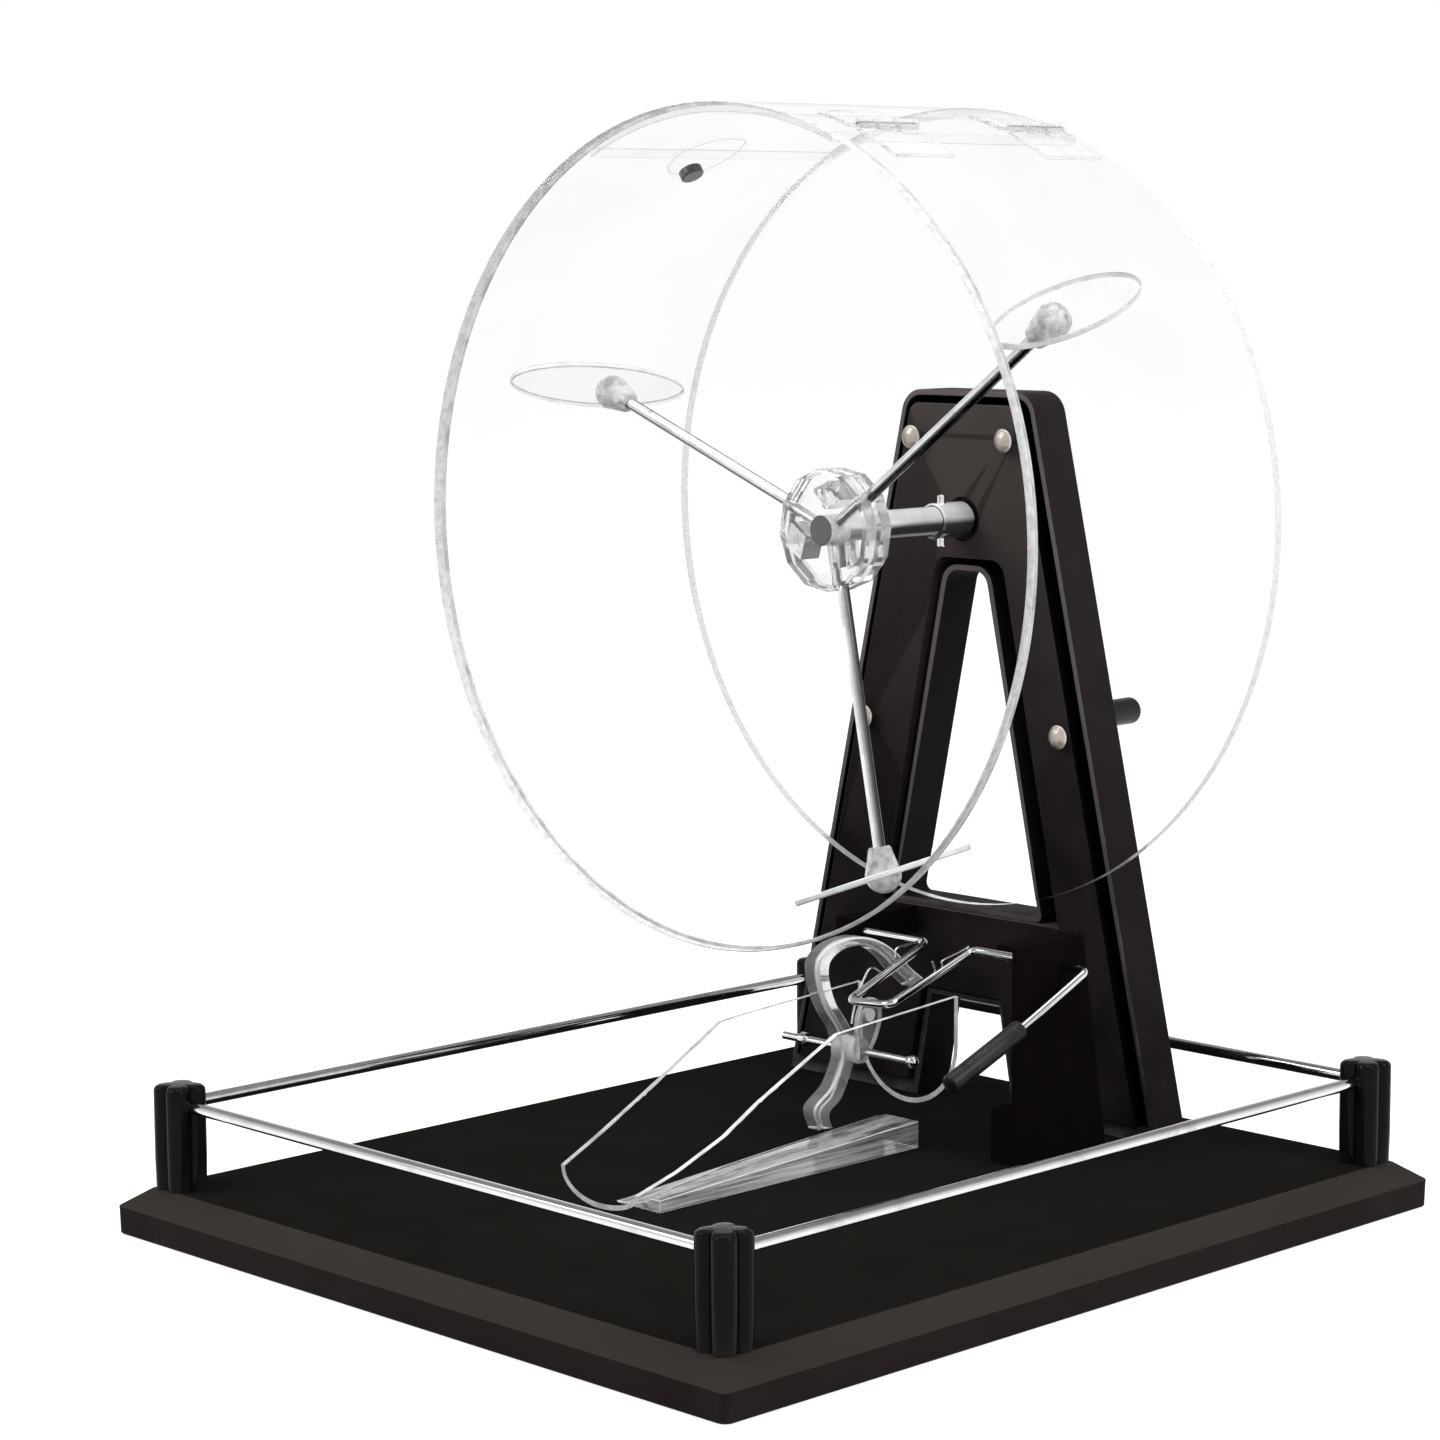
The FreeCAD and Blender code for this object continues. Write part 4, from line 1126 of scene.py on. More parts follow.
@dataclass
class Stand:
    """A-shaped stand: rimmed shell, raised front panel and the shaft's bush."""

    finish: Finish
    lip_y: float = 169.0
    floor_y: float = 186.0
    bush_y: Span = (166.5, 195.6)
    bush_bore: float = 7.6
    bush_r: float = 11.0
    flange_r: float = 16.0
    flange_t: float = 3.0

    def shell(self) -> None:
        """Shell: its front rim is the pale lip, and what faces its pocket is painted near black as shade."""
        def choose(centre: Array, normal: Array) -> Array:
            """Lip where the face lies in the lip plane, painted shade on the pocket's floor."""
            lip = (normal[:, 1] < -0.9) & (np.abs(centre[:, 1] - self.lip_y) < 0.5)
            floor = (normal[:, 1] < -0.9) & (np.abs(centre[:, 1] - self.floor_y) < 0.5)
            return np.where(lip, 1, np.where(floor, 2, 0))
        piece = dressed_copy("stand_shell", "stand_shell_moulded",
                             [self.finish.stand, self.finish.lip, self.finish.recess_shade], choose, bevel=0.4)
        fit(piece, "frame", "stand_black", "stand_shell")

    def panel(self) -> None:
        """Raised panel: its front is the brown black face, and its sides are painted near black as the shade
        of the recess.
        """
        def choose(centre: Array, normal: Array) -> Array:
            """Painted shade on the sides of the panel, but for the window's lit side; painted light on its
            sill.
            """
            lit = (normal[:, 0] > 0.5) & (centre[:, 0] < 0.0)
            sill = (normal[:, 2] > 0.7) & (centre[:, 2] < PLACE.drum_z - PLACE.drum_r / 2)
            return np.where(sill, 2, np.where((np.abs(normal[:, 1]) < 0.5) & ~lit, 1, 0))
        piece = dressed_copy("stand_panel", "stand_panel_moulded",
                             [self.finish.panel, self.finish.recess_shade, self.finish.sill], choose, bevel=0.5)
        fit(piece, "frame", "stand_black", "stand_panel")

    def bush(self) -> None:
        """Bush: a flanged sleeve spun about the shaft."""
        start, end = ((PLACE.drum_x, y, PLACE.shaft_z) for y in self.bush_y)
        depth = end[1] - start[1]
        step = depth - self.flange_t
        r, rim, bore = self.bush_r, self.flange_r, self.bush_bore
        profile = [(0.0, bore), (0.0, r - 0.4), (0.4, r), (step, r), (step, rim - 0.5), (step + 0.5, rim),
                   (depth - 0.6, rim), (depth, rim - 0.6), (depth, bore)]
        piece = turned("shaft_bush_turned", start, end, profile, self.finish.post)
        fit(piece, "frame", "bush_black", "shaft_bush")

    def build(self) -> None:
        """Build the whole stand."""
        self.shell()
        self.panel()
        self.bush()


# ---------------------------------------------------------------- drum


def radial(centre: Array) -> Array:
    """Unit vectors away from the drum axis at each point, flat in XZ."""
    away = centre - np.array([PLACE.drum_x, 0.0, PLACE.drum_z])
    away[:, 1] = 0.0
    return away / np.maximum(np.linalg.norm(away, axis=1, keepdims=True), 1e-9)


def cut_faces(centre: Array, normal: Array) -> Array:
    """1 for a cut along the drum's wall, 0 for its inner and outer skin and for its glued ends."""
    skin = np.abs(np.sum(radial(centre) * normal, axis=1)) >= 0.6
    return (~skin & (np.abs(normal[:, 1]) < 0.9)).astype(int)


@dataclass
class Drum:
    """Clear drum: two discs, the wall with its exit hole, a hinged door and its magnetic catch."""

    finish: Finish
    ease: float = 0.5
    screw_r: float = 6.0
    screw_places: Outline = ((-31.0, 36.0), (31.0, 36.0), (-64.0, -110.0), (68.0, -109.0))
    magnet_angle: float = 121.0
    magnet_y: float = 75.0
    magnet_r: float = 6.0
    hinge_angle: float = 67.5
    hinge_r: float = 203.4
    hinge_pin_r: float = 1.0
    hinge_spans: Outline = ((7.0, 46.0), (111.0, 150.0))

    def polar(self, radius: float, degrees: float, y: float) -> Place:
        """Point at a radius and angle about the drum axis."""
        a = math.radians(degrees)
        return (PLACE.drum_x + radius * math.cos(a), y, PLACE.drum_z + radius * math.sin(a))

    def front_disc(self) -> None:
        """Front disc: a flat round sheet whose rim is sawn and polished."""
        r, t = PLACE.drum_r, PLACE.disc_t
        start = (PLACE.drum_x, PLACE.drum_y0, PLACE.drum_z)
        end = (PLACE.drum_x, PLACE.drum_y0 + t, PLACE.drum_z)
        piece = turned("drum_front_sheet", start, end, bar(t, r, self.ease),
                       self.finish.sheet, 288, [1, 1, 1, 0, 0], [self.finish.front_edge])
        fit(pass_light(piece), "frame", "drum_acrylic", "drum_front_disc")
        ring = turned("drum_front_joint", start, end,
                      [(t + 0.1, r - 2.0), (t + 0.1, r - 0.2), (t + 1.6, r - 0.2), (t + 1.6, r - 2.0)],
                      self.finish.joint, 288, closed=True)
        fit(ring, "frame", "drum_acrylic")

    def rear_disc(self) -> None:
        """Rear disc with the shaft's hole: its rim is a cut edge."""
        def choose(centre: Array, normal: Array) -> Array:
            """Cut edge round the rim only."""
            away = np.hypot(centre[:, 0] - PLACE.drum_x, centre[:, 2] - PLACE.drum_z)
            return ((np.abs(normal[:, 1]) < 0.5) & (away > 150.0)).astype(int)
        piece = dressed_copy("drum_rear_disc", "drum_rear_sheet", [self.finish.sheet, self.finish.far_edge],
                             choose)
        fit(pass_light(piece), "frame", "drum_acrylic", "drum_rear_disc")

    def wall(self) -> None:
        """Wall with the exit hole and the door's gap."""
        piece = dressed_copy("drum_shell", "drum_wall_sheet", [self.finish.wall, self.finish.seam], cut_faces)
        fit(pass_light(draw_in(piece)), "frame", "drum_acrylic", "drum_shell")

    def door(self) -> None:
        """Door panel with its catch disc."""
        def choose(centre: Array, normal: Array) -> Array:
            """Seam on the cuts along the door, a pale finish on its two ends."""
            return np.where(np.abs(normal[:, 1]) > 0.9, 2, cut_faces(centre, normal))
        piece = dressed_copy("door_panel", "door_sheet",
                             [self.finish.wall, self.finish.seam, self.finish.door_end, self.finish.far_edge],
                             choose, bevel=0.4, edge_slot=3)
        fit(pass_light(draw_in(piece)), "door", "drum_acrylic", "door_panel")
        disc = dressed_copy("catch_disc", "catch_disc_clear",
                            [self.finish.wall, self.finish.seam, self.finish.rim_line], cut_faces, bevel=0.3,
                            edge_slot=2)
        fit(draw_in(disc), "door", "hinge_acrylic", "catch_disc")

    def hinges(self) -> None:
        """Moulded hinge leaves with their pins."""
        for node, body in (("hinge_leaves_fixed", "frame"), ("hinge_leaves_moving", "door")):
            piece = dressed_copy(node, f"{node}_moulded",
                                 [self.finish.hinge, self.finish.hinge, self.finish.far_edge], cut_faces,
                                 bevel=0.25, edge_slot=2)
            fit(draw_in(piece), body, "hinge_acrylic", node)
        pins = [turned(f"hinge_pin_{i}", self.polar(self.hinge_r, self.hinge_angle, a),
                       self.polar(self.hinge_r, self.hinge_angle, b),
                       bar(b - a, self.hinge_pin_r, 0.3), self.finish.bright, 20)
                for i, (a, b) in enumerate(self.hinge_spans)]
        fit(pins[1], "frame", "hinge_acrylic")
        fit(pins[0], "frame", "hinge_acrylic", "hinge_pins")

    def magnet(self) -> None:
        """Magnet: a short dark slug let into the wall."""
        inner = self.polar(PLACE.drum_r - PLACE.wall, self.magnet_angle, self.magnet_y)
        outer = self.polar(PLACE.drum_r, self.magnet_angle, self.magnet_y)
        rim = self.magnet_r - 0.6
        profile = [(0.0, rim), (0.5, self.magnet_r), (4.2, self.magnet_r), (4.7, rim)]
        piece = turned("door_magnet_slug", inner, outer, profile, self.finish.magnet, 48)
        fit(piece, "frame", "magnet_dark", "door_magnet")

    def screws(self) -> None:
        """Screws: height of the dome is a sphere's cap over the disc's inner face."""
        a = np.linspace(0.0, 1.0, 12)
        ball = self.screw_r * 1.25
        reach = math.asin(self.screw_r / ball)
        dome = [(ball * (math.cos(reach * k) - math.cos(reach)), ball * math.sin(reach * k)) for k in a[::-1]]
        profile = [(-4.0, 2.5), (-0.1, 2.5), (0.0, self.screw_r - 0.2), *dome[:-1], (dome[-1][0], 0.15)]
        for i, (x, z) in enumerate(self.screw_places):
            seat = np.array([PLACE.drum_x + x, PLACE.drum_y1 - PLACE.disc_t, PLACE.drum_z + z])
            piece = turned(f"drum_screw_{i}", seat, seat - ALONG_Y, profile, self.finish.pearl, 40)
            fit(piece, "frame", "screw_pearl", *(["drum_screws"] if i == 0 else []))

    def build(self) -> None:
        """Build the whole drum."""
        self.front_disc()
        self.rear_disc()
        self.wall()
        self.door()
        self.hinges()
        self.magnet()
        self.screws()


# ---------------------------------------------------------------- stirrer


@dataclass(frozen=True)
class Blade:
    """One stirring blade: spoke angle and seat, centre (angle, radius, Y), half sizes and lie."""

    name: str
    angle: float
    seat: float
    centre: Place
    halves: Span
    length: Place
    facing: Place


@dataclass
class Stirrer:
    """Steel shaft with a clear hub, three spokes with clear blades, a collar and the crank."""

    finish: Finish
    shaft_r: float = 7.5
    shaft_y: Span = (63.0, 206.0)
    hub_depth: float = 20.5
    collar_y: Span = (143.0, 165.0)
    collar_r: float = 9.0
    socket_y: float = 150.0
    spoke_r: float = 3.0
    boss_len: float = 14.0
    boss_r: float = 9.0
    blade_t: float = 3.0
    crank_angle: float = -70.6
    crank_len: float = 108.7
    crank_y: Span = (198.0, 206.0)
    crank_radii: Span = (14.0, 8.0)
    crank_neck: float = 10.0
    crank_pin_r: float = 3.0
    knob_y: Span = (207.0, 258.0)
    knob_r: float = 7.0
    knob_end: float = 3.0
    blades: tuple[Blade, ...] = (
        Blade("right", 36.5, 172.0, (38.4, 172.9, 86.1), (48.9, 21.0),
              (0.014, 0.952, 0.304), (0.276, -0.296, 0.914)),
        Blade("left", 158.5, 171.0, (157.0, 170.7, 61.1), (50.4, 21.3),
              (0.211, 0.971, -0.116), (-0.45, 0.202, 0.87)),
        Blade("bottom", 281.0, 170.0, (281.0, 170.0, 73.0), (46.0, 24.0),
              (0.48, 0.84, 0.26), (0.34, 0.09, -0.94)))

    def point(self, radius: float, degrees: float, y: float) -> Array:
        """Point at a radius and angle about the shaft."""
        a = math.radians(degrees)
        return np.array([PLACE.drum_x + radius * math.cos(a), y, PLACE.shaft_z + radius * math.sin(a)])

    def shaft(self) -> None:
        """Shaft: a round bar with eased ends; its front end is left dull."""
        y0, y1 = self.shaft_y
        r = self.shaft_r
        piece = turned("shaft_bar", self.point(0, 0, y0), self.point(0, 0, y1),
                       [(0.0, r - 0.5), (0.5, r), (self.hub_depth, r), (y1 - y0 - 0.5, r),
                        (y1 - y0, r - 0.5)],
                       self.finish.satin, 64, [1, 2, 0, 0, 1, 1], [self.finish.dull, self.finish.bore])
        fit(piece, "stirrer", "steel", "shaft")

    def collar(self) -> None:
        """Collar: a chamfered ring with two socket screws standing out of it."""
        y0, y1 = self.collar_y
        piece = turned("shaft_collar_turned", self.point(0, 0, y0), self.point(0, 0, y1),
                       sleeve(y1 - y0, self.shaft_r + 0.02, self.collar_r, 0.8), self.finish.satin, 64)
        fit(piece, "stirrer", "steel", "shaft_collar")
        for name, s in (("upper", 1.0), ("lower", -1.0)):
            self.socket_screw(f"collar_screw_{name}", s)

    def socket_screw(self, name: str, side: float) -> None:
        """Socket screw: rings go up the outside, over the rim and down a six-sided socket.

        Args:
            name: the piece's name.
            side: 1 above the shaft, -1 below.
        """
        t = np.linspace(0.0, 2 * math.pi, 36, endpoint=False)
        corner = np.abs(t % (math.pi / 3) - math.pi / 6)
        hexagon = 1.1 * math.cos(math.pi / 6) / np.cos(math.pi / 6 - corner)
        rows = [(8.4, 2.2 + 0 * t), (12.6, 2.2 + 0 * t), (13.0, 1.85 + 0 * t), (13.0, hexagon),
                (11.0, hexagon)]
        rings = np.stack([np.stack([PLACE.drum_x + r * np.cos(t), self.socket_y + r * np.sin(t),
                                    PLACE.shaft_z + side * h + 0 * t], axis=-1) for h, r in rows])
        # The socket's walls and floor wear the dark magnet finish as painted shade in the recess.
        piece = ring_stack(name, rings, [self.finish.bright, self.finish.magnet], [0, 0, 0, 1, 0, 1])
        fit(piece, "stirrer", "steel", *(["collar_screws"] if side > 0 else []))

    def hub(self) -> None:
        """Hub: two twelve-sided clear plates with diamond windows."""
        def choose(centre: Array, normal: Array) -> Array:
            """Clear cut edge on the faces round the rim and in the windows, a pale one in the bore."""
            from_shaft = np.hypot(centre[:, 0] - PLACE.drum_x, centre[:, 2] - PLACE.shaft_z)
            side = np.abs(normal[:, 1]) < 0.9
            return np.where(side & (from_shaft < 8.0), 3, side.astype(int))
        skins = [self.finish.moulded, self.finish.facet, self.finish.rim_line, self.finish.bore]
        for node in ("hub_front", "hub_rear"):
            piece = dressed_copy(node, f"{node}_plate", skins, choose, bevel=0.5, edge_slot=2)
            fit(draw_in(piece), "stirrer", "stirrer_acrylic", node)

    def spokes(self) -> None:
        """Spokes: steel rods from the shaft to the bosses."""
        r = self.spoke_r
        for blade in self.blades:
            start = self.point(self.shaft_r - 0.3, blade.angle, PLACE.spoke_y)
            end = self.point(blade.seat - 8.0, blade.angle, PLACE.spoke_y)
            size = float(np.linalg.norm(end - start))
            piece = turned(f"spoke_{blade.name}_rod", start, end,
                           [(0.0, r), (size - 0.5, r), (size, r - 0.5)], self.finish.steel, 32)
            fit(piece, "stirrer", "steel", f"spoke_{blade.name}")

    def bosses(self) -> None:
        """Bosses: a cone that widens from the spoke into a ball, spun about the spoke."""
        size, r = self.boss_len, self.boss_r
        cap = [(size + r * math.cos(k), r * math.sin(k)) for k in np.radians(np.linspace(100.0, 4.0, 14))]
        profile = [(0.0, 4.8), (0.8, 5.6), (6.0, 7.0), (11.8, 8.6), *cap]
        for blade in self.blades:
            inner = self.point(blade.seat - size, blade.angle, PLACE.spoke_y)
            outer = self.point(blade.seat, blade.angle, PLACE.spoke_y)
            piece = turned(f"boss_{blade.name}_moulded", inner, outer, profile, self.finish.boss, 40)
            fit(piece, "stirrer", "stirrer_acrylic", f"boss_{blade.name}")

    def blade_plates(self) -> None:
        """Blades: an ellipse on a plane, thick between its two faces, with polished rims."""
        t = np.linspace(0.0, 2 * math.pi, 128, endpoint=False)
        half, e = self.blade_t / 2, 0.6
        for blade in self.blades:
            angle, radius, y = blade.centre
            middle = self.point(radius, angle, y)
            u = unit(blade.length)
            n = unit(np.asarray(blade.facing) - u * np.dot(blade.facing, u))
            v = np.cross(n, u)
            rows = []
            for inset, level in ((e, -half), (0.0, -half + e), (0.0, half - e), (e, half)):
                flat = (np.cos(t) * (blade.halves[0] - inset))[:, None] * u
                flat = flat + (np.sin(t) * (blade.halves[1] - inset))[:, None] * v
                rows.append(middle + flat + level * n)
            milky = blade.name == "bottom"
            skin = self.finish.milky if milky else self.finish.paddle
            line = self.finish.trough_edge if milky else self.finish.rim_line
            piece = ring_stack(f"paddle_{blade.name}_blade", np.stack(rows),
                               [skin, self.finish.thin_edge, line], [2, 1, 2, 0, 0])
            fit(piece, "stirrer", "stirrer_acrylic", f"paddle_{blade.name}")

    def crank(self) -> None:
        """Crank arm, its pin, its screw and the knob that spins on the pin."""
        a, (big_r, small_r), pin_r = self.crank_angle, self.crank_radii, self.crank_pin_r
        y0, y1 = self.crank_y
        hub, tip = self.point(0, 0, y0), self.point(self.crank_len, a, y0)
        neck = math.degrees(math.asin(self.crank_neck / big_r))
        big = circle(big_r, 48, a + neck, 360.0 - 2 * neck, close=True) + [hub[0], hub[2]]
        small = circle(small_r, 28, a - 90.0, 180.0, close=True) + [tip[0], tip[2]]
        arm = slab("crank_arm_flat", np.concatenate([big, small]), y0, y1, Axis.Y, 0.7, [self.finish.steel])
        fit(arm, "stirrer", "crank_steel", "crank_arm")
        pin = turned("crank_pin_bar", tip, tip + ALONG_Y, [(0.0, pin_r - 0.3), (0.3, pin_r), (52.0, pin_r)],
                     self.finish.steel, 32)
        fit(pin, "stirrer", "crank_steel", "crank_pin")
        low, high = (self.point(r, a + 180.0, (y0 + y1) / 2) for r in (self.shaft_r, 16.0))
        screw = turned("crank_screw_turned", low, high,
                       [(0.0, 2.0), (8.1, 2.0), (8.5, 1.6), (8.5, 1.0), (7.0, 0.9)], self.finish.bright, 24)
        fit(screw, "stirrer", "crank_steel", "crank_screw")
        size, r, end = self.knob_y[1] - self.knob_y[0], self.knob_r, self.knob_end
        bend = [(size - end + end * math.sin(k), r - end + end * math.cos(k))
                for k in np.linspace(0.0, math.pi / 2, 8)]
        profile = [(0.0, pin_r + 0.06), (0.0, r - 0.6), (0.6, r), (size * 0.5, r - 0.15),
                   (size - end - 0.4, r), *bend, (size, 0.3)]
        start = self.point(self.crank_len, a, self.knob_y[0])
        knob = turned("crank_knob_grip", start, start + ALONG_Y, profile, self.finish.rubber, 48)
        fit(knob, "crank_knob", "knob_black", "crank_knob")

    def build(self) -> None:
        """Build the whole stirrer."""
        self.shaft()
        self.collar()
        self.hub()
        self.spokes()
        self.bosses()
        self.blade_plates()
        self.crank()


# ---------------------------------------------------------------- trough and gate


@dataclass
class Trough:
    """Clear bent trough on its layered wedge."""

    finish: Finish
    stations: tuple[tuple[float, float, float, float], ...] = (
        (-104.0, -13.5, 38.0, 32.2), (-79.0, -15.3, 46.8, 39.1), (-49.0, -18.0, 57.7, 50.4),
        (-26.0, -19.5, 67.2, 63.0), (13.0, -21.0, 85.7, 81.0), (27.0, -21.0, 86.9, 87.4),
        (112.5, -21.0, 91.8, 93.2))

    def on_edge(self, centre: Array) -> Array:
        """Mask of faces on the walls' top edges.

        The edge's height is read between stations (Y, middle X, left top, right top), and a
        face belongs to it when its centre lies within 0.4 mm of that height.

        Args:
            centre: (n, 3) face centres in millimetres.

        Returns:
            (n,) booleans.
        """
        y, middle, left, right = np.array(self.stations).T
        x = centre[:, 0] - np.interp(centre[:, 1], y, middle)
        top = np.where(x < 0.0, np.interp(centre[:, 1], y, left), np.interp(centre[:, 1], y, right)) + 0.3
        return np.abs(centre[:, 2] - top) < 0.4

    def build(self) -> None:
        """Trough with bright edges all round, and the layered wedge under its right side."""
        def choose(centre: Array, normal: Array) -> Array:
            """Bright edge on the right wall's top and the two lips, a greyer one on the left wall's top."""
            lip = (np.abs(normal[:, 1]) > 0.9) & (np.abs(centre[:, 1] - 4.25) > 100.0)
            edge = self.on_edge(centre) | lip
            return np.where(edge & ~lip & (centre[:, 0] < -30.0), 2, edge.astype(int))
        piece = dressed_copy("trough", "trough_bent_sheet",
                             [self.finish.trough, self.finish.trough_edge, self.finish.rim_line], choose)
        fit(piece, "frame", "trough_acrylic", "trough")
        wedge = dressed_copy("trough_wedge", "trough_wedge_layered",
                             [self.finish.layered, self.finish.thin_edge], bevel=0.5, edge_slot=1)
        fit(draw_in(wedge, 0.08), "frame", "trough_acrylic", "trough_wedge")


@dataclass
class Gate:
    """Clear rocker on its cross pin: hooked strip, boss, teardrop cheek, pin and collar."""

    finish: Finish
    pin_y: float = 76.0
    pin_z: float = 67.0
    x: float = -26.5
    width: float = 9.0
    boss_x: Span = (-32.5, -18.5)
    pin_r: float = 2.0
    pin_x: float = -72.0
    collar_x: float = -59.5
    collar_r: float = 3.5
    eye: Span = (79.5, 85.0)
    outer: Outline = (
        (50.8, 30.5), (47.2, 41.8), (59.2, 50.9), (66.5, 63.8), (63.8, 78.0), (54.8, 90.8), (49.5, 103.0),
        (48.4, 113.0), (51.5, 118.0), (59.0, 121.9), (69.0, 123.6), (79.3, 123.3), (89.4, 121.0),
        (99.5, 116.4), (108.7, 109.8), (117.0, 102.4), (126.5, 95.5))
    inner: Outline = (
        (60.2, 29.8), (58.4, 37.9), (67.2, 44.6), (75.7, 61.0), (78.0, 69.0), (72.2, 80.0), (63.3, 91.8),
        (59.0, 102.2), (57.9, 110.0), (60.5, 114.8), (69.3, 118.6), (81.3, 118.9), (90.0, 115.5),
        (98.0, 110.0), (104.5, 103.6), (118.1, 92.5))
    cheek: Outline = (
        (71.5, 69.0), (70.5, 80.0), (73.0, 89.0), (79.0, 93.5), (85.5, 91.5), (88.5, 84.0),
        (86.0, 75.0), (80.5, 66.0), (76.5, 61.5), (72.0, 63.0))

    def strip(self) -> None:
        """Strip: a plate between two smooth curves, with a bright line along every edge."""
        outline = np.concatenate([smooth_line(self.outer, 8), smooth_line(self.inner, 8)[::-1]])
        half = self.width / 2
        piece = slab("gate_strip_clear", outline, self.x - half, self.x + half, Axis.X, 1.0,
                     [self.finish.strip, self.finish.smoky, self.finish.thin_edge], [2, 1, 2])
        fit(piece, "gate_rocker", "trough_acrylic", "gate_strip")
        start = np.array([self.boss_x[0], self.pin_y, self.pin_z])
        depth = self.boss_x[1] - self.boss_x[0] - 0.1
        boss = turned("gate_boss_clear", start, start + ALONG_X, sleeve(depth, self.pin_r + 0.1, 6.5, 0.5),
                      self.finish.milky, 48)
        fit(boss, "gate_rocker", "trough_acrylic")

    def cheek_plate(self) -> None:
        """Cheek: a closed smooth curve through its corners, with a polished rim."""
        outline = smooth_line(self.cheek, 8, closed=True)
        x0 = self.boss_x[1]
        piece = slab("gate_cheek_clear", outline, x0, x0 + 3.0, Axis.X, 0.5,
                     [self.finish.smoky, self.finish.edge, self.finish.thin_edge], [2, 1, 2])
        fit(piece, "gate_rocker", "trough_acrylic", "gate_cheek")
        eye = turned("gate_cheek_eye", (x0 - 0.2, *self.eye), (x0 + 1.0, *self.eye),
                     [(0.0, 2.5), (0.0, 3.3), (3.4, 3.3), (3.4, 2.5)], self.finish.thin_edge, 32)
        fit(eye, "gate_rocker", "trough_acrylic")

    def pin(self) -> None:
        """Pin: a bar that ends in a small ball, with a collar outside the trough."""
        start = np.array([self.pin_x, self.pin_y, self.pin_z])
        a = np.radians(np.linspace(140.0, 4.0, 12))
        ball = [(88.0 + 3.2 * math.cos(k), 3.2 * math.sin(k)) for k in a]
        piece = turned("gate_pin_bar", start, start + ALONG_X,
                       [(0.0, self.pin_r - 0.4), (0.4, self.pin_r), (85.2, self.pin_r), *ball[1:]],
                       self.finish.bright, 32)
        fit(piece, "frame", "steel", "gate_pin")
        seat = np.array([self.collar_x, self.pin_y, self.pin_z])
        collar = turned("gate_collar_turned", seat, seat + ALONG_X,
                        sleeve(4.0, self.pin_r + 0.02, self.collar_r, 0.4), self.finish.bright, 32)
        fit(collar, "frame", "steel", "gate_collar")

    def build(self) -> None:
        """Build the whole gate."""
        self.strip()
        self.cheek_plate()
        self.pin()


# ---------------------------------------------------------------- release lever


@dataclass
class Lever:
    """Bent wire release lever with its grip, in a folded bracket and a lug."""

    finish: Finish
    wire_r: float = 2.0
    grip_r: float = 4.8
    bend: float = 5.0
    route: tuple[Place, ...] = (
        (-76.0, 123.0, 115.4), (-17.0, 123.0, 115.4), (-17.0, 66.0, 94.0), (13.0, 63.0, 96.6),
        (13.0, 123.0, 115.4), (87.0, 123.0, 115.4), (87.0, 74.0, 94.0), (87.0, 27.0, 76.0))
    tie_r: float = 0.5
    tie_paths: tuple[tuple[str, str, float, Outline], ...] = (
        ("near", "release_lever", 13.0,
         ((120.5, 117.6), (111.7, 115.4), (101.4, 113.3), (101.0, 111.0), (103.0, 107.9))),
        ("stub", "release_lever", 13.0, ((93.6, 113.9), (96.9, 106.7))),
        ("far", "release_lever", -17.0, ((115.7, 116.9), (109.5, 116.3), (100.3, 115.4), (99.3, 111.0))),
        ("eye", "gate_rocker", -19.2,
         ((70.1, 81.4), (71.1, 86.2), (74.1, 94.2), (78.1, 101.3), (82.2, 106.7), (85.7, 107.3),
          (90.2, 104.9), (95.3, 102.4))))

    def wire_loop(self) -> None:
        """Wire: a circle carried along the route with its corners bent round."""
        line = rounded_line(self.route, self.bend, 9)
        piece = wire("lever_wire_bent", line, self.wire_r, self.finish.bright, 24)
        fit(piece, "release_lever", "steel", "lever_wire")

    def grip(self) -> None:
        """Grip: a rubber sleeve with a rounded free end."""
        near, far = np.array(self.route[-2]), np.array(self.route[-1])
        size = float(np.linalg.norm(far - near)) + 3.0
        r = self.grip_r
        profile = [(0.0, self.wire_r + 0.05), (0.0, r - 0.6), (0.6, r), (size - 2.0, r),
                   (size - 0.7, r - 0.5), (size - 0.1, r - 1.6), (size, 0.5)]
        piece = turned("lever_grip_sleeve", near, far, profile, self.finish.rubber, 40)
        fit(piece, "release_lever", "grip_rubber", "lever_grip")

    def ties(self) -> None:
        """Thin wires tied round the loop's arms and through the eye of the gate's cheek."""
        for name, body, x, path in self.tie_paths:
            flat = smooth_line(path, 6)
            line = np.column_stack([np.full(len(flat), x), flat])
            fit(wire(f"tie_{name}_wire", line, self.tie_r, self.finish.bright, 12), body, "steel")

    def mounts(self) -> None:
        """Bracket and lug with eased edges."""
        for node, name in (("lever_bracket", "lever_bracket_folded"), ("lever_lug", "lever_lug_arm")):
            fit(dressed_copy(node, name, [self.finish.bracket], bevel=0.35), "frame", "stand_black", node)

    def build(self) -> None:
        """Build the whole lever."""
        self.wire_loop()
        self.grip()
        self.ties()
        self.mounts()


# ---------------------------------------------------------------- studio


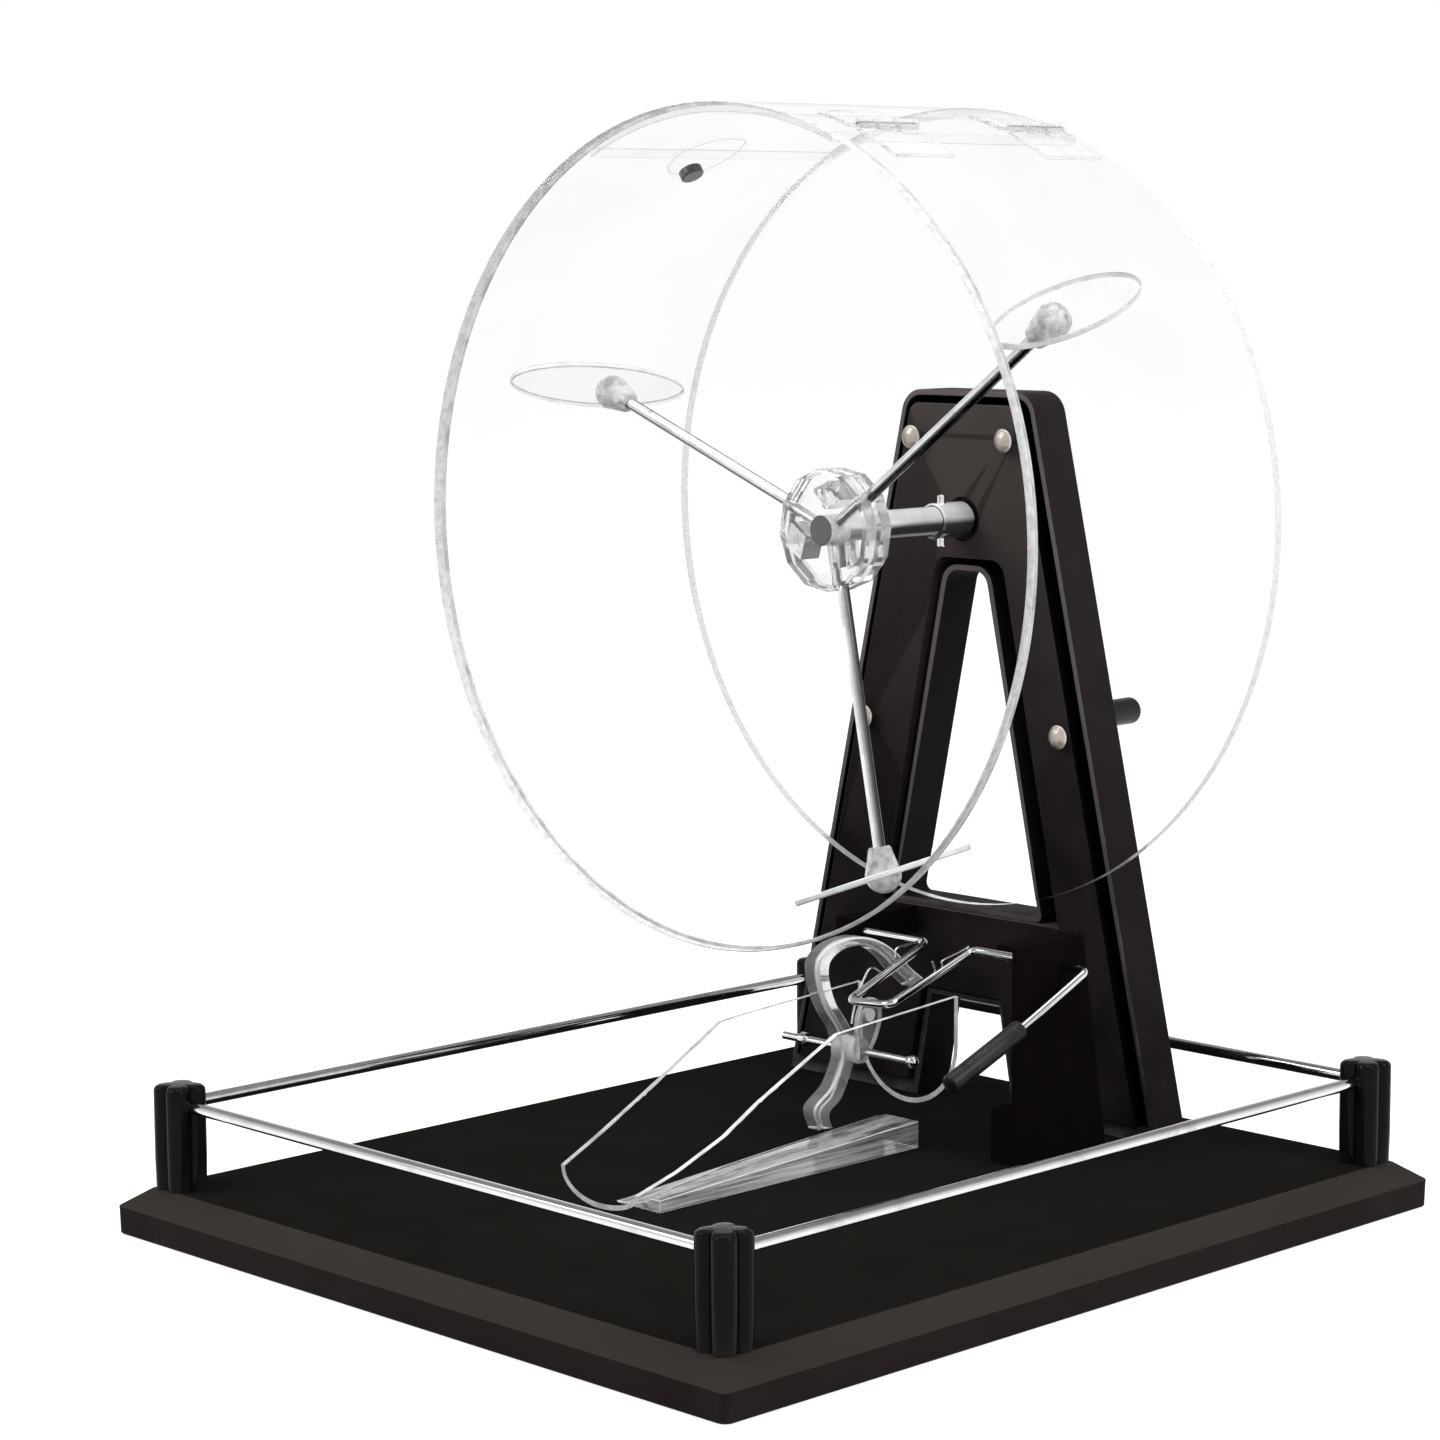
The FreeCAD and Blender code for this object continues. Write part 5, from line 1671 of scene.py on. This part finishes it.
@dataclass
class Studio:
    """Camera, plain floor, soft lamps and a white surround."""

    eye: Place = (1.2212, -1.2281, 0.4648)
    azimuth: float = 45.74
    elevation: float = 7.37
    roll: float = -0.29
    lens: float = 92.8

    def camera(self) -> None:
        """Camera on its own line of sight, with a trace of roll."""
        data = bpy.data.cameras.new("view")
        data.lens = self.lens
        data.sensor_width = 36.0
        data.clip_end = 50.0
        camera = bpy.data.objects.new("view", data)
        bpy.context.scene.collection.objects.link(camera)
        az, el = math.radians(self.azimuth), math.radians(self.elevation)
        ahead = Vector((-math.sin(az) * math.cos(el), math.cos(az) * math.cos(el), -math.sin(el)))
        turn = ahead.to_track_quat("-Z", "Y").to_euler()
        camera.location = self.eye
        camera.rotation_euler = turn
        camera.rotation_euler.rotate_axis("Z", math.radians(self.roll))
        bpy.context.scene.camera = camera

    def lamp(self, name: str, place: Sequence[float], aim: Sequence[float], size: Span,
             power: float) -> None:
        """Soft rectangular lamp.

        Args:
            name: the lamp's name.
            place: where it stands, in metres.
            aim: the point it faces.
            size: its width and height.
            power: its power in watts.
        """
        data = bpy.data.lights.new(name, "AREA")
        data.shape = "RECTANGLE"
        data.size, data.size_y = size
        data.energy = power
        lamp = bpy.data.objects.new(name, data)
        lamp.location = place
        lamp.rotation_euler = (Vector(aim) - Vector(place)).to_track_quat("-Z", "Y").to_euler()
        bpy.context.scene.collection.objects.link(lamp)

    def seen(self, kit: Nodes) -> Socket:
        """Mask that is 1 for camera, glossy and transmission rays.

        Args:
            kit: the nodes to add it to.

        Returns:
            The mask's socket.
        """
        path = kit.add("ShaderNodeLightPath")
        some = kit.math("MAXIMUM", path.outputs["Is Camera Ray"], path.outputs["Is Glossy Ray"])
        return kit.math("MAXIMUM", some, path.outputs["Is Transmission Ray"])

    def surround(self) -> None:
        """World: white where it is seen, a soft grey where it only lights."""
        world = bpy.data.worlds.new("surround")
        world.use_nodes = True
        kit = Nodes(world.node_tree)
        light = kit.add("ShaderNodeBackground", Color=grey(1.0), Strength=0.45)
        split = kit.add("ShaderNodeSeparateXYZ", Vector=kit.add("ShaderNodeTexCoord").outputs["Generated"])
        path = kit.add("ShaderNodeLightPath")
        ceiling = kit.ramp(split.outputs["Z"], 0.15, 0.7)
        dark = kit.math("MULTIPLY", ceiling, path.outputs["Is Glossy Ray"])
        white = kit.add("ShaderNodeBackground", Strength=1.0, Color=kit.mix(dark, grey(1.0), grey(0.3)))
        kit.add("ShaderNodeOutputWorld", Surface=kit.blend(self.seen(kit), light, white))
        bpy.context.scene.world = world

    def floor(self) -> None:
        """Floor: a wide pale sheet that keeps a soft shadow."""
        material = bpy.data.materials.new("floor_pale")
        material.use_nodes = True
        kit = Nodes(material.node_tree)
        matte = kit.add("ShaderNodeBsdfDiffuse", Color=grey(0.5))
        strength = kit.math("MULTIPLY", self.seen(kit), 0.78)
        glow = kit.add("ShaderNodeEmission", Color=grey(1.0), Strength=strength)
        total = kit.add("ShaderNodeAddShader")
        kit.link(matte.outputs[0], total.inputs[0])
        kit.link(glow.outputs[0], total.inputs[1])
        kit.add("ShaderNodeOutputMaterial", Surface=total.outputs[0])
        reach = 30000.0
        points = lift(reach * np.array([[-1, -1], [1, -1], [1, 1], [-1, 1]]), -0.4, Axis.Z)
        floor = make_piece("floor_sheet", points, [[0, 1, 2, 3]], [material])

    def build(self) -> None:
        """Build the camera, lamps, floor and surround."""
        self.camera()
        self.lamp("key_soft", (-1.6, -2.2, 2.6), (0.0, 0.0, 0.2), (2.2, 2.2), 60.0)
        self.lamp("side_soft", (2.8, 0.4, 2.0), (0.0, 0.1, 0.25), (1.6, 2.2), 45.0)
        self.lamp("top_soft", (0.0, 0.4, 3.2), (0.0, 0.0, 0.0), (2.6, 2.6), 40.0)
        self.surround()
        self.floor()
        bpy.context.scene.view_settings.view_transform = "Standard"


def main() -> None:
    """Build every sub-assembly in order."""
    logging.basicConfig(level=logging.INFO, format="%(message)s")
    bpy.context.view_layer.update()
    finish = Finish()
    for assembly in (RailedBase, Stand, Drum, Stirrer, Trough, Gate, Lever):
        assembly(finish).build()
        LOG.info("%s built", assembly.__name__)
    Studio().build()


if __name__ == "__main__":
    main()
